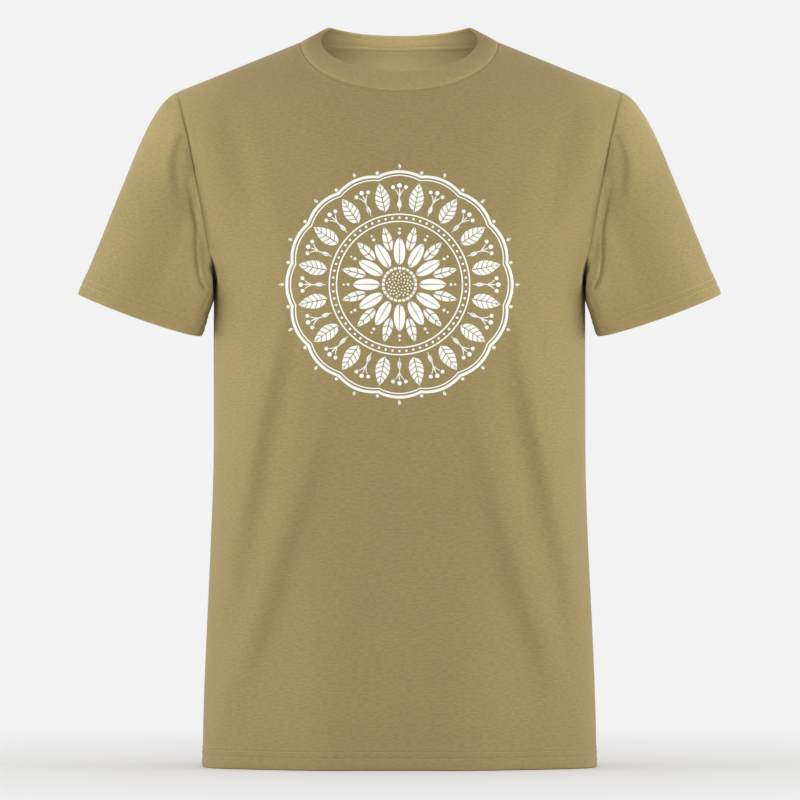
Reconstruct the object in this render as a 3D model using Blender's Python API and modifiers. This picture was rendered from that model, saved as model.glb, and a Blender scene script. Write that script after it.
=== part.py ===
"""Short-sleeved crew-neck T-shirt, held in its worn shape as an open shell.

Metres, +Z up, front of the shirt towards -Y, wearer's left at +X.
The shirt stands on its hem, which lies in the plane z = 0, and the centre of
its bounding box is on the Z axis.

Every panel is a cut of one smooth form:
  * torso(side, x, z)  the outside of the body, front (side -1) or back (+1)
  * the shoulder ridge, the neckline and the armhole, drawn on that form
  * sleeve rings, run from the armhole to the cuff along Bezier paths
Each panel is an open sheet, thickened inwards to the cloth's thickness.
"""
import bpy
from math import sin, cos, pi, sqrt, exp, radians
from mathutils import Vector

# ---------------------------------------------------------------- sizes (m)
LENGTH_TO_ARMPIT = 0.4773     # hem to underarm point
ARMPIT_X = 0.1827             # half width of the body at the underarm
HEM_X = 0.1935                # half width of the body at the hem
FLARE_START = 0.3263          # height under which the body widens to the hem
CHEST_FRONT = 0.1235          # depth of the front panel at the chest
HEM_FRONT = 0.1175            # depth of the front panel at the hem
CHEST_BACK = 0.1135           # depth of the back panel at the shoulder blades
HEM_BACK = 0.1100             # depth of the back panel at the hem
ROUND = 2.3                   # exponent of the body's oval section
CHEST_DROP_F = 0.128          # drop from the ridge over which it fills out
CHEST_DROP_B = 0.108          # the same at the back
Y_MID = 0.0048                # ridge and side seams, so that the box is centred

NECK_X = 0.0975               # neckline seam, half width at the shoulder
NECK_Z = 0.7130               # neckline seam, height at the shoulder
NECK_FRONT_Z = 0.6630         # neckline seam, height at the front centre
NECK_BACK_Z = 0.7091          # neckline seam, height at the back centre
SHOULDER_SLOPE = 0.404        # fall of the shoulder ridge, per metre outwards
SHOULDER_X = 0.2190           # armhole seam at the shoulder ridge

COLLAR_X = 0.0773             # top edge of the neckband, half width
COLLAR_FRONT_Z = 0.6820       # top edge at the front centre
COLLAR_BACK_Z = 0.7214        # top edge at the back centre
COLLAR_RISE = 0.4660          # slope of the top edge, front half
COLLAR_FALL = 0.190           # slope of the top edge, back half
COLLAR_FRONT_Y = -0.0880      # top edge, front centre, from the ridge plane
COLLAR_BACK_Y = 0.0550        # top edge, back centre, from the ridge plane

CUFF_MID = Vector((0.2572, -0.002, 0.4453))    # centre of the sleeve opening
CUFF_HALF_W = 0.0624          # half width of the cuff, seen from the front
CUFF_HALF_D = 0.0545          # half depth of the cuff
CUFF_TILT = radians(19.6)     # rise of the cuff line outwards
CUFF_DROOP = 0.0044           # the cuff hangs this much lower at the front

CLOTH = 0.0014                # panel thickness
RIB = 0.0020                  # neckband thickness, two layers of rib
FOLD = 0.0009                 # turned-up hem layer
GAP = 0.0003                  # clearance between two sewn pieces
HEM_DEPTH = 0.0200            # height of the turned-up hems
TAPE_WIDTH = 0.0056           # back neck tape

ROWS_LOW = 8                  # mesh rows from the hem to the underarm
ROWS_TOP = 13                 # mesh rows from the underarm to the ridge
COLS_NECK = 9                 # mesh columns under the neckline, one side
COLS_SHOULDER = 6             # mesh columns under the shoulder, one side
RINGS = 12                    # mesh rings along a sleeve


# ---------------------------------------------------------------- the form
def smooth(t):
    t = min(max(t, 0.0), 1.0)
    return t * t * (3.0 - 2.0 * t)


def lerp(a, b, t):
    return a + (b - a) * t


def half_width(z):
    """Half width of the body's oval at height z."""
    if z <= LENGTH_TO_ARMPIT:
        return lerp(ARMPIT_X, HEM_X, smooth((FLARE_START - z) / FLARE_START))
    return ARMPIT_X + 0.000060 * (1000.0 * (z - LENGTH_TO_ARMPIT)) ** 1.5


def chest_width(z):
    """Softer half width, for the middle of the panel above the underarm."""
    if z <= LENGTH_TO_ARMPIT:
        return half_width(z)
    rise = z - LENGTH_TO_ARMPIT
    return ARMPIT_X + 8.5 * rise * rise / (1.0 + rise / 0.090)


def oval_share(x, z):
    """0 on the centre line, 1 at the side seam, along the body's oval."""
    near = min(abs(x) / half_width(z), 1.0)
    edge = near ** 10
    mid = min(abs(x) / chest_width(z), 1.0)
    return lerp(mid ** ROUND, near ** ROUND, edge)


def ridge_z(x):
    """Height of the shoulder ridge, rounded over where the neck would be."""
    away = abs(x)
    if away < NECK_X:
        away = 0.5 * (x * x / NECK_X + NECK_X)
    return NECK_Z - SHOULDER_SLOPE * (away - NECK_X)


def torso(side, x, z):
    """Point of the body's outside at (x, z), on the front or back panel."""
    full = (lerp(HEM_FRONT, CHEST_FRONT, smooth(z / 0.50)) if side < 0
            else lerp(HEM_BACK, CHEST_BACK, smooth(z / 0.50)))
    drop = CHEST_DROP_F if side < 0 else CHEST_DROP_B
    depth = full * (1.0 - oval_share(x, z)) ** (1.0 / ROUND)
    fall = max(ridge_z(x) - z, 0.0) / drop
    depth *= sqrt(1.0 - exp(-2.0 * fall))
    return Vector((x, Y_MID + side * depth, z))


def outward(side, p):
    """Unit normal of the torso form at a point p of it."""
    def level(x, y, z):
        full = (lerp(HEM_FRONT, CHEST_FRONT, smooth(z / 0.50)) if side < 0
                else lerp(HEM_BACK, CHEST_BACK, smooth(z / 0.50)))
        drop = CHEST_DROP_F if side < 0 else CHEST_DROP_B
        fall = (ridge_z(x) - z) / drop
        oval = (1.0 - oval_share(x, z)) ** (2.0 / ROUND)
        return ((y - Y_MID) / full) ** 2 - oval * (1.0 - exp(-2.0 * fall))
    e = 0.0004
    x, y, z = p
    return Vector((level(x + e, y, z) - level(x - e, y, z),
                   level(x, y + e, z) - level(x, y - e, z),
                   level(x, y, z + e) - level(x, y, z - e))).normalized()


def neckline(side, t):
    """(x, z) of the neckline seam, t = 0 at the centre, 1 at the shoulder."""
    low = NECK_FRONT_Z if side < 0 else NECK_BACK_Z
    angle = 0.5 * pi * t
    return NECK_X * sin(angle), low + (NECK_Z - low) * (1.0 - cos(angle))


# column stations on a half panel: share s of the girth, from centre to side
COLUMNS = [("neck", j / COLS_NECK) for j in range(COLS_NECK)]
COLUMNS += [("shoulder", j / COLS_SHOULDER) for j in range(COLS_SHOULDER + 1)]


def column_ends(side, kind, t):
    """x at the underarm level, and (x, z) at the top, of one mesh column."""
    n = COLS_NECK + COLS_SHOULDER
    j = t * COLS_NECK if kind == "neck" else COLS_NECK + t * COLS_SHOULDER
    girth = sin(0.5 * pi * j / n) ** (2.0 / ROUND)
    if kind == "neck":
        x_top, z_top = neckline(side, t)
    else:
        x_top = lerp(NECK_X, SHOULDER_X, t)
        z_top = ridge_z(x_top)
    return girth, x_top, z_top


def row_turn(i):
    """Rows above the underarm crowd a little towards the ridge."""
    return 1.0 - (1.0 - i / ROWS_TOP) ** 1.35


def row_share(i):
    """Height share of such a row, 0 at the underarm and 1 at the ridge."""
    return 0.5 * (1.0 - cos(pi * row_turn(i)))


def panel_point(side, kind, t, row):
    """Point of a panel: row counts up from the hem (0) to the top edge."""
    girth, x_top, z_top = column_ends(side, kind, t)
    if row <= ROWS_LOW:
        z = LENGTH_TO_ARMPIT * (row / ROWS_LOW) ** 1.3
        return torso(side, half_width(z) * girth, z)
    v = row_share(row - ROWS_LOW)
    x0 = ARMPIT_X * girth
    bow = 0.86 * v + 0.14 * v ** 5 if kind == "shoulder" else v
    mix = t if kind == "shoulder" else 0.0
    w = lerp(v, bow, mix)
    z = lerp(LENGTH_TO_ARMPIT, z_top, v)
    return torso(side, lerp(x0, x_top, w), z)


# ---------------------------------------------------------------- builders
def clear_scene():
    for obj in list(bpy.data.objects):
        bpy.data.objects.remove(obj, do_unlink=True)
    for block in (bpy.data.meshes, bpy.data.materials, bpy.data.collections):
        for item in list(block):
            block.remove(item)


def material(name, colour, roughness):
    mat = bpy.data.materials.new(name)
    mat.use_nodes = True
    bsdf = mat.node_tree.nodes["Principled BSDF"]
    bsdf.inputs["Base Color"].default_value = (*colour, 1.0)
    bsdf.inputs["Roughness"].default_value = roughness
    bsdf.inputs["Metallic"].default_value = 0.0
    mat.diffuse_color = (*colour, 1.0)
    return mat


def grid_object(name, rows, mat, home, closed=False, flip=False):
    """A sheet of quads through rows of points; closed joins each row's ends."""
    width = len(rows[0])
    verts = [p for row in rows for p in row]
    faces = []
    for i in range(len(rows) - 1):
        for j in range(width if closed else width - 1):
            k = (j + 1) % width
            quad = (i * width + j, i * width + k,
                    (i + 1) * width + k, (i + 1) * width + j)
            faces.append(quad[::-1] if flip else quad)
    mesh = bpy.data.meshes.new(name)
    mesh.from_pydata([tuple(v) for v in verts], [], faces)
    mesh.validate()
    mesh.shade_smooth()
    mesh.materials.append(mat)
    obj = bpy.data.objects.new(name, mesh)
    home.objects.link(obj)
    return obj


def thicken(obj, thickness):
    """Thicken inwards; the sheet itself stays the outer face."""
    mod = obj.modifiers.new("thickness", "SOLIDIFY")
    mod.thickness = thickness
    mod.offset = -1.0
    mod.use_even_offset = True
    mod.use_quality_normals = True
    return mod


def mirror(obj):
    mod = obj.modifiers.new("other half", "MIRROR")
    mod.use_axis = (True, False, False)
    mod.merge_threshold = 0.00005
    mod.use_clip = True
    return mod


def drawn_in(rows, amounts):
    """Pull edges of a grid back by a small length along their own columns
    or rows, so that sewn pieces keep their clearance.
    amounts: dict with any of 'first_row', 'last_row', 'last_col'."""
    out = [[Vector(p) for p in row] for row in rows]
    if "first_row" in amounts:
        for j, p in enumerate(out[0]):
            p += (rows[1][j] - rows[0][j]).normalized() * amounts["first_row"]
    if "last_row" in amounts:
        for j, p in enumerate(out[-1]):
            p += (rows[-2][j] - rows[-1][j]).normalized() * amounts["last_row"]
    if "last_col" in amounts:
        for i, row in enumerate(out):
            row[-1] += ((rows[i][-2] - rows[i][-1]).normalized()
                        * amounts["last_col"])
    return out


# ---------------------------------------------------------------- body
def body_panel(name, side, mat, home):
    """Front or back panel: one half as a grid, the other half mirrored."""
    rows = [[panel_point(side, kind, t, r) for kind, t in COLUMNS]
            for r in range(ROWS_LOW + ROWS_TOP + 1)]
    rows = drawn_in(rows, {"last_row": 0.5 * GAP, "last_col": 0.5 * GAP})
    for row in rows:                       # the half stays open at the plane
        row[0].x = 0.0
    obj = grid_object(name, rows, mat, home, flip=side > 0)
    mirror(obj)
    thicken(obj, CLOTH)
    return obj


# ---------------------------------------------------------------- neckband
def seam_point(turn):
    """Point of the neckline seam, turn 0 at the front centre, pi behind."""
    turn = min(max(turn, 0.0), pi)
    side = -1 if turn <= 0.5 * pi else 1
    x, z = neckline(side, min(turn, pi - turn) / (0.5 * pi))
    return torso(side, x, z)


def band_loop(level, count):
    """Loop of the neckband: level 0 at the neckline seam, 1 at its top edge.
    Point 0 is at the front centre, and it runs round past +X."""
    points = []
    for k in range(count):
        angle = 2.0 * pi * k / count
        turn = angle if angle <= pi else 2.0 * pi - angle
        sign = 1.0 if angle <= pi else -1.0
        # the seam, on the panels
        side = -1 if turn <= 0.5 * pi else 1
        seam = seam_point(turn)
        run = seam_point(turn + 0.01) - seam_point(turn - 0.01)
        # the top edge
        mid_y = 0.5 * (COLLAR_FRONT_Y + COLLAR_BACK_Y)
        half_y = 0.5 * (COLLAR_BACK_Y - COLLAR_FRONT_Y)
        ahead = turn + 0.30 * sin(turn)
        edge_y = mid_y - half_y * cos(ahead)
        rise = COLLAR_FRONT_Z + COLLAR_RISE * (edge_y - COLLAR_FRONT_Y)
        fall = COLLAR_BACK_Z + COLLAR_FALL * (COLLAR_BACK_Y - edge_y)
        soft = 0.0025
        edge_z = 0.5 * (rise + fall - sqrt((rise - fall) ** 2 + soft ** 2))
        edge = Vector((COLLAR_X * sin(ahead), Y_MID + edge_y, edge_z))
        # leave the seam along the panel, then lean to the edge
        span = (edge - seam).length
        up = run.cross(outward(side, seam)).normalized()
        if up.dot(edge - seam) < 0.0:
            up = -up
        start = up * 0.9 * span
        end = (edge - seam) * 0.9
        h = level
        p = (seam * (2 * h ** 3 - 3 * h ** 2 + 1) + start * (h ** 3 - 2 * h ** 2 + h)
             + edge * (-2 * h ** 3 + 3 * h ** 2) + end * (h ** 3 - h ** 2))
        p.x *= sign
        points.append(p)
    return points


def neckband(mat, home):
    count = 4 * COLS_NECK
    rows = [band_loop(h, count) for h in (0.0, 0.25, 0.5, 0.75, 1.0)]
    rows = drawn_in(rows, {"first_row": GAP})
    obj = grid_object("neckband", rows, mat, home, closed=True)
    thicken(obj, RIB)
    return obj


def neck_tape(mat, home):
    """Narrow tape over the inside of the back neck seam."""
    inset = CLOTH + GAP
    rows = []
    for level in (0.0, 0.5, 1.0):
        row = []
        for k in range(-8, 9):
            t = abs(k) / 9.0
            x, z = neckline(1, t)
            z -= 0.0012 + 0.72 * TAPE_WIDTH * level
            x *= 1.0 if k >= 0 else -1.0
            p = torso(1, x, z)
            row.append(p - outward(1, p) * inset)
        rows.append(row)
    obj = grid_object("neck_tape", rows, mat, home, flip=False)
    thicken(obj, 0.0008)
    return obj


# ---------------------------------------------------------------- sleeves
def armhole_loop():
    """The armhole seam on the +X side, from the ridge down the front to the
    underarm and up the back; same stations as the panels' own rows."""
    loop = []
    for i in range(ROWS_TOP, -1, -1):
        loop.append((panel_point(-1, "shoulder", 1.0, ROWS_LOW + i),
                     pi * (1.0 - row_turn(i))))
    for i in range(1, ROWS_TOP):
        loop.append((panel_point(1, "shoulder", 1.0, ROWS_LOW + i),
                     pi + pi * row_turn(i)))
    return loop


def cuff_point(angle):
    """Point on the sleeve opening's oval, 0 at the outer corner."""
    across = Vector((cos(CUFF_TILT), 0.0, sin(CUFF_TILT)))
    axis = Vector((sin(CUFF_TILT), 0.0, -cos(CUFF_TILT)))
    droop = CUFF_DROOP * sin(angle) * (1.0 if sin(angle) > 0.0 else 0.35)
    return (CUFF_MID + Vector((0.0, Y_MID, 0.0)) + axis * droop
            + across * CUFF_HALF_W * cos(angle)
            + Vector((0.0, -CUFF_HALF_D * sin(angle), 0.0)))


def sleeve_point(seam, angle, s):
    """Bezier path from the armhole seam to the cuff."""
    under = 0.5 * (1.0 - cos(angle))           # 0 at the ridge, 1 underneath
    front = sin(angle)
    cuff = cuff_point(angle)
    leave = Vector((lerp(0.925, 0.2875, under ** 0.8), -0.22 * front,
                    lerp(-0.380, -0.958, under ** 0.8))).normalized()
    arrive = Vector((lerp(0.390, 0.2875, under), -0.05 * front,
                     lerp(-0.920, -0.958, under))).normalized()
    span = (cuff - seam).length
    h0 = span * lerp(0.130, 0.33, under)
    h1 = span * lerp(0.690, 0.33, under ** 0.7)
    p1 = seam + leave * h0
    p2 = cuff - arrive * h1
    q = 1.0 - s
    return (seam * q ** 3 + p1 * 3.0 * q * q * s
            + p2 * 3.0 * q * s * s + cuff * s ** 3)


def sleeve(name, sign, mat, home):
    loop = armhole_loop()
    rows = [[sleeve_point(p, a, i / RINGS) for p, a in loop]
            for i in range(RINGS + 1)]
    rows = drawn_in(rows, {"first_row": 0.5 * GAP})
    for row in rows:
        for p in row:
            p.x *= sign
    obj = grid_object(name, rows, mat, home, closed=True, flip=sign < 0)
    thicken(obj, CLOTH)
    return obj


def cuff_fold(name, sign, mat, home):
    """Turned-up layer inside the sleeve opening."""
    inset = CLOTH + GAP
    loop = armhole_loop()
    count = len(loop)
    rows = []
    for share in (1.0, 0.87):
        ring = [sleeve_point(p, a, share) for p, a in loop]
        mid = sum(ring, Vector()) / count
        nxt = [sleeve_point(p, a, share - 0.02) for p, a in loop]
        row = []
        for k in range(count):
            along = nxt[k] - ring[k]
            around = ring[(k + 1) % count] - ring[k - 1]
            normal = along.cross(around).normalized()
            if normal.dot(ring[k] - mid) < 0.0:
                normal = -normal
            row.append(ring[k] - normal * inset)
        rows.append(row)
    for row in rows:
        for p in row:
            p.x *= sign
    obj = grid_object(name, rows[::-1], mat, home, closed=True, flip=sign < 0)
    thicken(obj, FOLD)
    return obj


def hem_fold(mat, home):
    """Turned-up layer inside the hem, one ring round the body."""
    inset = CLOTH + GAP
    rows = []
    for z in (0.0005, HEM_DEPTH):
        a = half_width(z)
        ring = []
        stations = [(-1, g) for g in range(len(COLUMNS))]
        stations += [(1, g) for g in range(len(COLUMNS) - 2, -1, -1)]
        half = []
        for side, g in stations:
            girth = column_ends(side, *COLUMNS[g])[0]
            half.append(torso(side, a * girth, z))
        whole = half + [Vector((-p.x, p.y, p.z)) for p in half[-2:0:-1]]
        count = len(whole)
        for k in range(count):
            around = whole[(k + 1) % count] - whole[k - 1]
            normal = Vector((around.y, -around.x, 0.0)).normalized()
            ring.append(whole[k] - normal * inset)
        rows.append(ring)
    obj = grid_object("hem_fold", rows, mat, home, closed=True)
    thicken(obj, FOLD)
    return obj


def build():
    clear_scene()
    home = bpy.data.collections.new("tshirt")
    bpy.context.scene.collection.children.link(home)
    khaki = (0.352, 0.279, 0.124)
    front = body_panel("body_front", -1,
                       material("jersey_front", khaki, 0.85), home)
    back = body_panel("body_back", 1,
                      material("jersey_back", khaki, 0.85), home)
    left = sleeve("sleeve_left", 1.0,
                  material("jersey_sleeve_left", khaki, 0.85), home)
    right = sleeve("sleeve_right", -1.0,
                   material("jersey_sleeve_right", khaki, 0.85), home)
    band = neckband(material("rib_neckband", (0.380, 0.300, 0.138), 0.88), home)
    tape = neck_tape(material("jersey_tape", (0.400, 0.320, 0.150), 0.85), home)
    hem = hem_fold(material("jersey_hem", khaki, 0.85), home)
    cuff_l = cuff_fold("cuff_fold_left", 1.0,
                       material("jersey_cuff_left", khaki, 0.85), home)
    cuff_r = cuff_fold("cuff_fold_right", -1.0,
                       material("jersey_cuff_right", khaki, 0.85), home)
    root = bpy.data.objects.new("tshirt_root", None)
    home.objects.link(root)
    for obj in (front, back, left, right, band, tape, hem, cuff_l, cuff_r):
        obj.parent = root


build()
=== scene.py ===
"""Looks of a short-sleeved crew-neck T-shirt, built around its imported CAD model.

Metres, +Z up, chest towards -Y, wearer's left at +X.  The panels repeat the
form of the CAD solids (torso, neckline, armhole, sleeve paths) on fine grids,
and the drape, the seams, the hems and the stitches are added to that form.
"""

import math

import bpy
import numpy as np
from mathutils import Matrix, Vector
from mathutils.bvhtree import BVHTree


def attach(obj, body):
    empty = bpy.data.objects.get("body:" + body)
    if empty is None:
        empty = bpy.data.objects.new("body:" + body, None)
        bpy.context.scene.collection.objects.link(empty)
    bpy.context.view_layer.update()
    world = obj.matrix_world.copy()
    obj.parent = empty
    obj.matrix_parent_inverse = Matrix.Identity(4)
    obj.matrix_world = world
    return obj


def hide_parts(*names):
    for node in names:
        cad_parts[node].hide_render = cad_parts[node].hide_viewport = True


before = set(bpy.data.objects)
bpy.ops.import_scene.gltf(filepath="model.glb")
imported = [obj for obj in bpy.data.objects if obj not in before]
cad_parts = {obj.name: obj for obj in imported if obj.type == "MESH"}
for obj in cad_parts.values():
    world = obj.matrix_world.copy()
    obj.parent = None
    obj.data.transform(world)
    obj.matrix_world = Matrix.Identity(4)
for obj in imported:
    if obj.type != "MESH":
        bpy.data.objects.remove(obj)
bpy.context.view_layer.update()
PI = math.pi

# ------------------------------------------------------------- CAD sizes (m)
ARMPIT_Z, ARMPIT_X, HEM_X, FLARE_START = 0.4773, 0.1827, 0.1935, 0.3263
CHEST = {-1: 0.1235, 1: 0.1135}          # depth at the chest, front and back
HEM = {-1: 0.1175, 1: 0.1100}            # depth at the hem
DROP = {-1: 0.128, 1: 0.108}             # fall over which the shoulder fills out
ROUND, Y_MID = 2.3, 0.0048
NECK_X, NECK_Z = 0.0975, 0.7130
NECK_LOW = {-1: 0.6630, 1: 0.7091}
SLOPE, SHOULDER_X = 0.404, 0.2190
COLLAR_X, COLLAR_FRONT_Z, COLLAR_BACK_Z = 0.0773, 0.6820, 0.7214
COLLAR_RISE, COLLAR_FALL = 0.4660, 0.190
COLLAR_FRONT_Y, COLLAR_BACK_Y = -0.0880, 0.0550
CUFF_MID = np.array([0.2572, -0.002 + Y_MID, 0.4453])
CUFF_W, CUFF_D, CUFF_TILT, CUFF_DROOP = 0.0624, 0.0545, math.radians(19.6), 0.0044
CLOTH = 0.0009                           # thickness of one layer of jersey
COLS_NECK, COLS_ALL, ROWS_LOW = 9.0, 15.0, 8.0


# ------------------------------------------------------------- small helpers
def smooth(t):
    t = np.clip(t, 0.0, 1.0)
    return t * t * (3.0 - 2.0 * t)


def lerp(a, b, t):
    return a + (b - a) * t


def bell(u):
    return np.exp(-u * u)


def unit(v):
    return v / np.maximum(np.linalg.norm(v, axis=-1, keepdims=True), 1e-12)


def curve(t, knots, values):
    """Smooth curve through a few (knot, value) pairs, level past its ends."""
    k, v = np.array(knots, float), np.array(values, float)
    if k[0] > k[-1]:
        k, v = k[::-1], v[::-1]
    t = np.clip(np.asarray(t, float), k[0], k[-1])
    m = np.gradient(v, k) if len(k) > 2 else np.full(2, (v[1] - v[0]) / (k[1] - k[0]))
    i = np.clip(np.searchsorted(k, t, side="right") - 1, 0, len(k) - 2)
    h = k[i + 1] - k[i]
    s = (t - k[i]) / h
    return ((2 * s ** 3 - 3 * s ** 2 + 1) * v[i] + (s ** 3 - 2 * s ** 2 + s) * h * m[i]
            + (3 * s ** 2 - 2 * s ** 3) * v[i + 1] + (s ** 3 - s ** 2) * h * m[i + 1])


def ripples(seed, count, x, z, wave_x, wave_z, height):
    """Sum of a few slow waves with seeded directions, for uneven cloth."""
    rng = np.random.default_rng(seed)
    total = 0.0
    for _ in range(count):
        kx = 2 * PI / rng.uniform(*wave_x) * rng.choice([-1.0, 1.0])
        kz = 2 * PI / rng.uniform(*wave_z)
        total = total + np.sin(kx * x + kz * z + rng.uniform(0, 2 * PI))
    return total * height / math.sqrt(count)


# ------------------------------------------------------------- the form
def half_width(z):
    low = lerp(ARMPIT_X, HEM_X, smooth((FLARE_START - z) / FLARE_START))
    high = ARMPIT_X + 0.000060 * np.maximum(1000.0 * (z - ARMPIT_Z), 0.0) ** 1.5
    return np.where(z <= ARMPIT_Z, low, high)


def chest_width(z):
    rise = np.maximum(z - ARMPIT_Z, 0.0)
    return np.where(z <= ARMPIT_Z, half_width(z),
                    ARMPIT_X + 8.5 * rise * rise / (1.0 + rise / 0.090))


def oval_share(x, z):
    near = np.minimum(np.abs(x) / half_width(z), 1.0)
    mid = np.minimum(np.abs(x) / chest_width(z), 1.0)
    return lerp(mid ** ROUND, near ** ROUND, near ** 10)


def ridge_z(x):
    away = np.abs(x)
    away = np.where(away < NECK_X, 0.5 * (away * away / NECK_X + NECK_X), away)
    return NECK_Z - SLOPE * (away - NECK_X)


def torso(side, x, z):
    full = lerp(HEM[side], CHEST[side], smooth(z / 0.50))
    depth = full * np.maximum(1.0 - oval_share(x, z), 0.0) ** (1.0 / ROUND)
    fall = np.maximum(ridge_z(x) - z, 0.0) / DROP[side]
    depth = depth * np.sqrt(1.0 - np.exp(-2.0 * fall))
    return np.stack([x + 0 * z, Y_MID + side * depth, z + 0 * x], -1)


def neckline(side, t):
    a = 0.5 * PI * t
    low = NECK_LOW[side]
    return NECK_X * np.sin(a), low + (NECK_Z - low) * (1.0 - np.cos(a))


def panel_form(side, j, row):
    """Points of a half panel's form; j 0 to 15 across, row as low height or v.
    row is (z, None) under the underarm and (None, v) above it."""
    n_neck = j <= COLS_NECK
    t = np.where(n_neck, j / COLS_NECK, (j - COLS_NECK) / (COLS_ALL - COLS_NECK))
    girth = np.sin(0.5 * PI * j / COLS_ALL) ** (2.0 / ROUND)
    nx, nz = neckline(side, t)
    sx = lerp(NECK_X, SHOULDER_X, t)
    x_top = np.where(n_neck, nx, sx)
    z_top = np.where(n_neck, nz, ridge_z(sx))
    z, v = row
    if v is None:
        return torso(side, half_width(z) * girth, z + 0 * j)
    mix = np.where(n_neck, 0.0, t)
    w = lerp(v, 0.86 * v + 0.14 * v ** 5, mix)
    zz = lerp(ARMPIT_Z, z_top, v)
    return torso(side, lerp(ARMPIT_X * girth, x_top, w), zz)


# ------------------------------------------------------------- mesh helpers
def new_object(name, verts, faces, smooth_faces=True):
    mesh = bpy.data.meshes.new(name)
    verts = np.asarray(verts, np.float32).reshape(-1, 3)
    faces = np.asarray(faces, np.int32)
    mesh.vertices.add(len(verts))
    mesh.vertices.foreach_set("co", verts.ravel())
    n = faces.shape[1]
    mesh.loops.add(faces.size)
    mesh.loops.foreach_set("vertex_index", faces.ravel())
    mesh.polygons.add(len(faces))
    mesh.polygons.foreach_set("loop_start", np.arange(0, faces.size, n, dtype=np.int32))
    mesh.update(calc_edges=True)
    if smooth_faces:
        mesh.polygons.foreach_set("use_smooth", np.ones(len(faces), bool))
    obj = bpy.data.objects.new(name, mesh)
    bpy.context.scene.collection.objects.link(obj)
    return obj


def grid_faces(rows, cols, closed_cols=False, closed_rows=False, flip=False):
    r = np.arange(rows if closed_rows else rows - 1)
    c = np.arange(cols if closed_cols else cols - 1)
    rr, cc = np.meshgrid(r, c, indexing="ij")
    r2, c2 = (rr + 1) % rows, (cc + 1) % cols
    f = np.stack([rr * cols + cc, rr * cols + c2, r2 * cols + c2, r2 * cols + cc], -1)
    f = f.reshape(-1, 4)
    return f[:, ::-1] if flip else f


def set_uv(obj, uv_of_vertex, name="Cloth"):
    """uv_of_vertex: array (verts, 2) in metres along and across the cloth."""
    mesh = obj.data
    layer = mesh.uv_layers.new(name=name)
    idx = np.empty(len(mesh.loops), np.int32)
    mesh.loops.foreach_get("vertex_index", idx)
    layer.data.foreach_set("uv", np.asarray(uv_of_vertex, np.float32)[idx].ravel())


def normals_of(P, closed_cols=False):
    """Unit normals of a point grid (rows, cols, 3)."""
    dr = np.gradient(P, axis=0)
    if closed_cols:
        dc = np.roll(P, -1, 1) - np.roll(P, 1, 1)
    else:
        dc = np.gradient(P, axis=1)
    return unit(np.cross(dc, dr))


def run_length(P, axis):
    """Distance along the grid lines from the first row or column."""
    step = np.linalg.norm(np.diff(P, axis=axis), axis=-1)
    start = np.zeros_like(np.take(step, [0], axis=axis))
    return np.concatenate([start, np.cumsum(step, axis=axis)], axis=axis)


def sample(grid, r, c, closed_cols=False):
    """Value of a grid at fractional rows and columns."""
    rows, cols = grid.shape[:2]
    r = np.clip(r, 0, rows - 1.000001)
    r0 = np.floor(r).astype(int)
    fr = (r - r0)[..., None]
    if closed_cols:
        c = np.mod(c, cols)
        c0 = np.floor(c).astype(int) % cols
        c1 = (c0 + 1) % cols
        fc = (c - np.floor(c))[..., None]
    else:
        c = np.clip(c, 0, cols - 1.000001)
        c0 = np.floor(c).astype(int)
        c1 = c0 + 1
        fc = (c - c0)[..., None]
    g = grid if grid.ndim == 3 else grid[..., None]
    low = g[r0, c0] * (1 - fc) + g[r0, c1] * fc
    high = g[r0 + 1, c0] * (1 - fc) + g[r0 + 1, c1] * fc
    out = low * (1 - fr) + high * fr
    return out if grid.ndim == 3 else out[..., 0]


def solidify(obj, thickness, inner_slot=0):
    mod = obj.modifiers.new("thickness", "SOLIDIFY")
    mod.thickness = thickness
    mod.offset = -1.0
    mod.use_even_offset = False
    mod.use_quality_normals = True
    mod.material_offset = inner_slot
    mod.material_offset_rim = 0
    return mod


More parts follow.
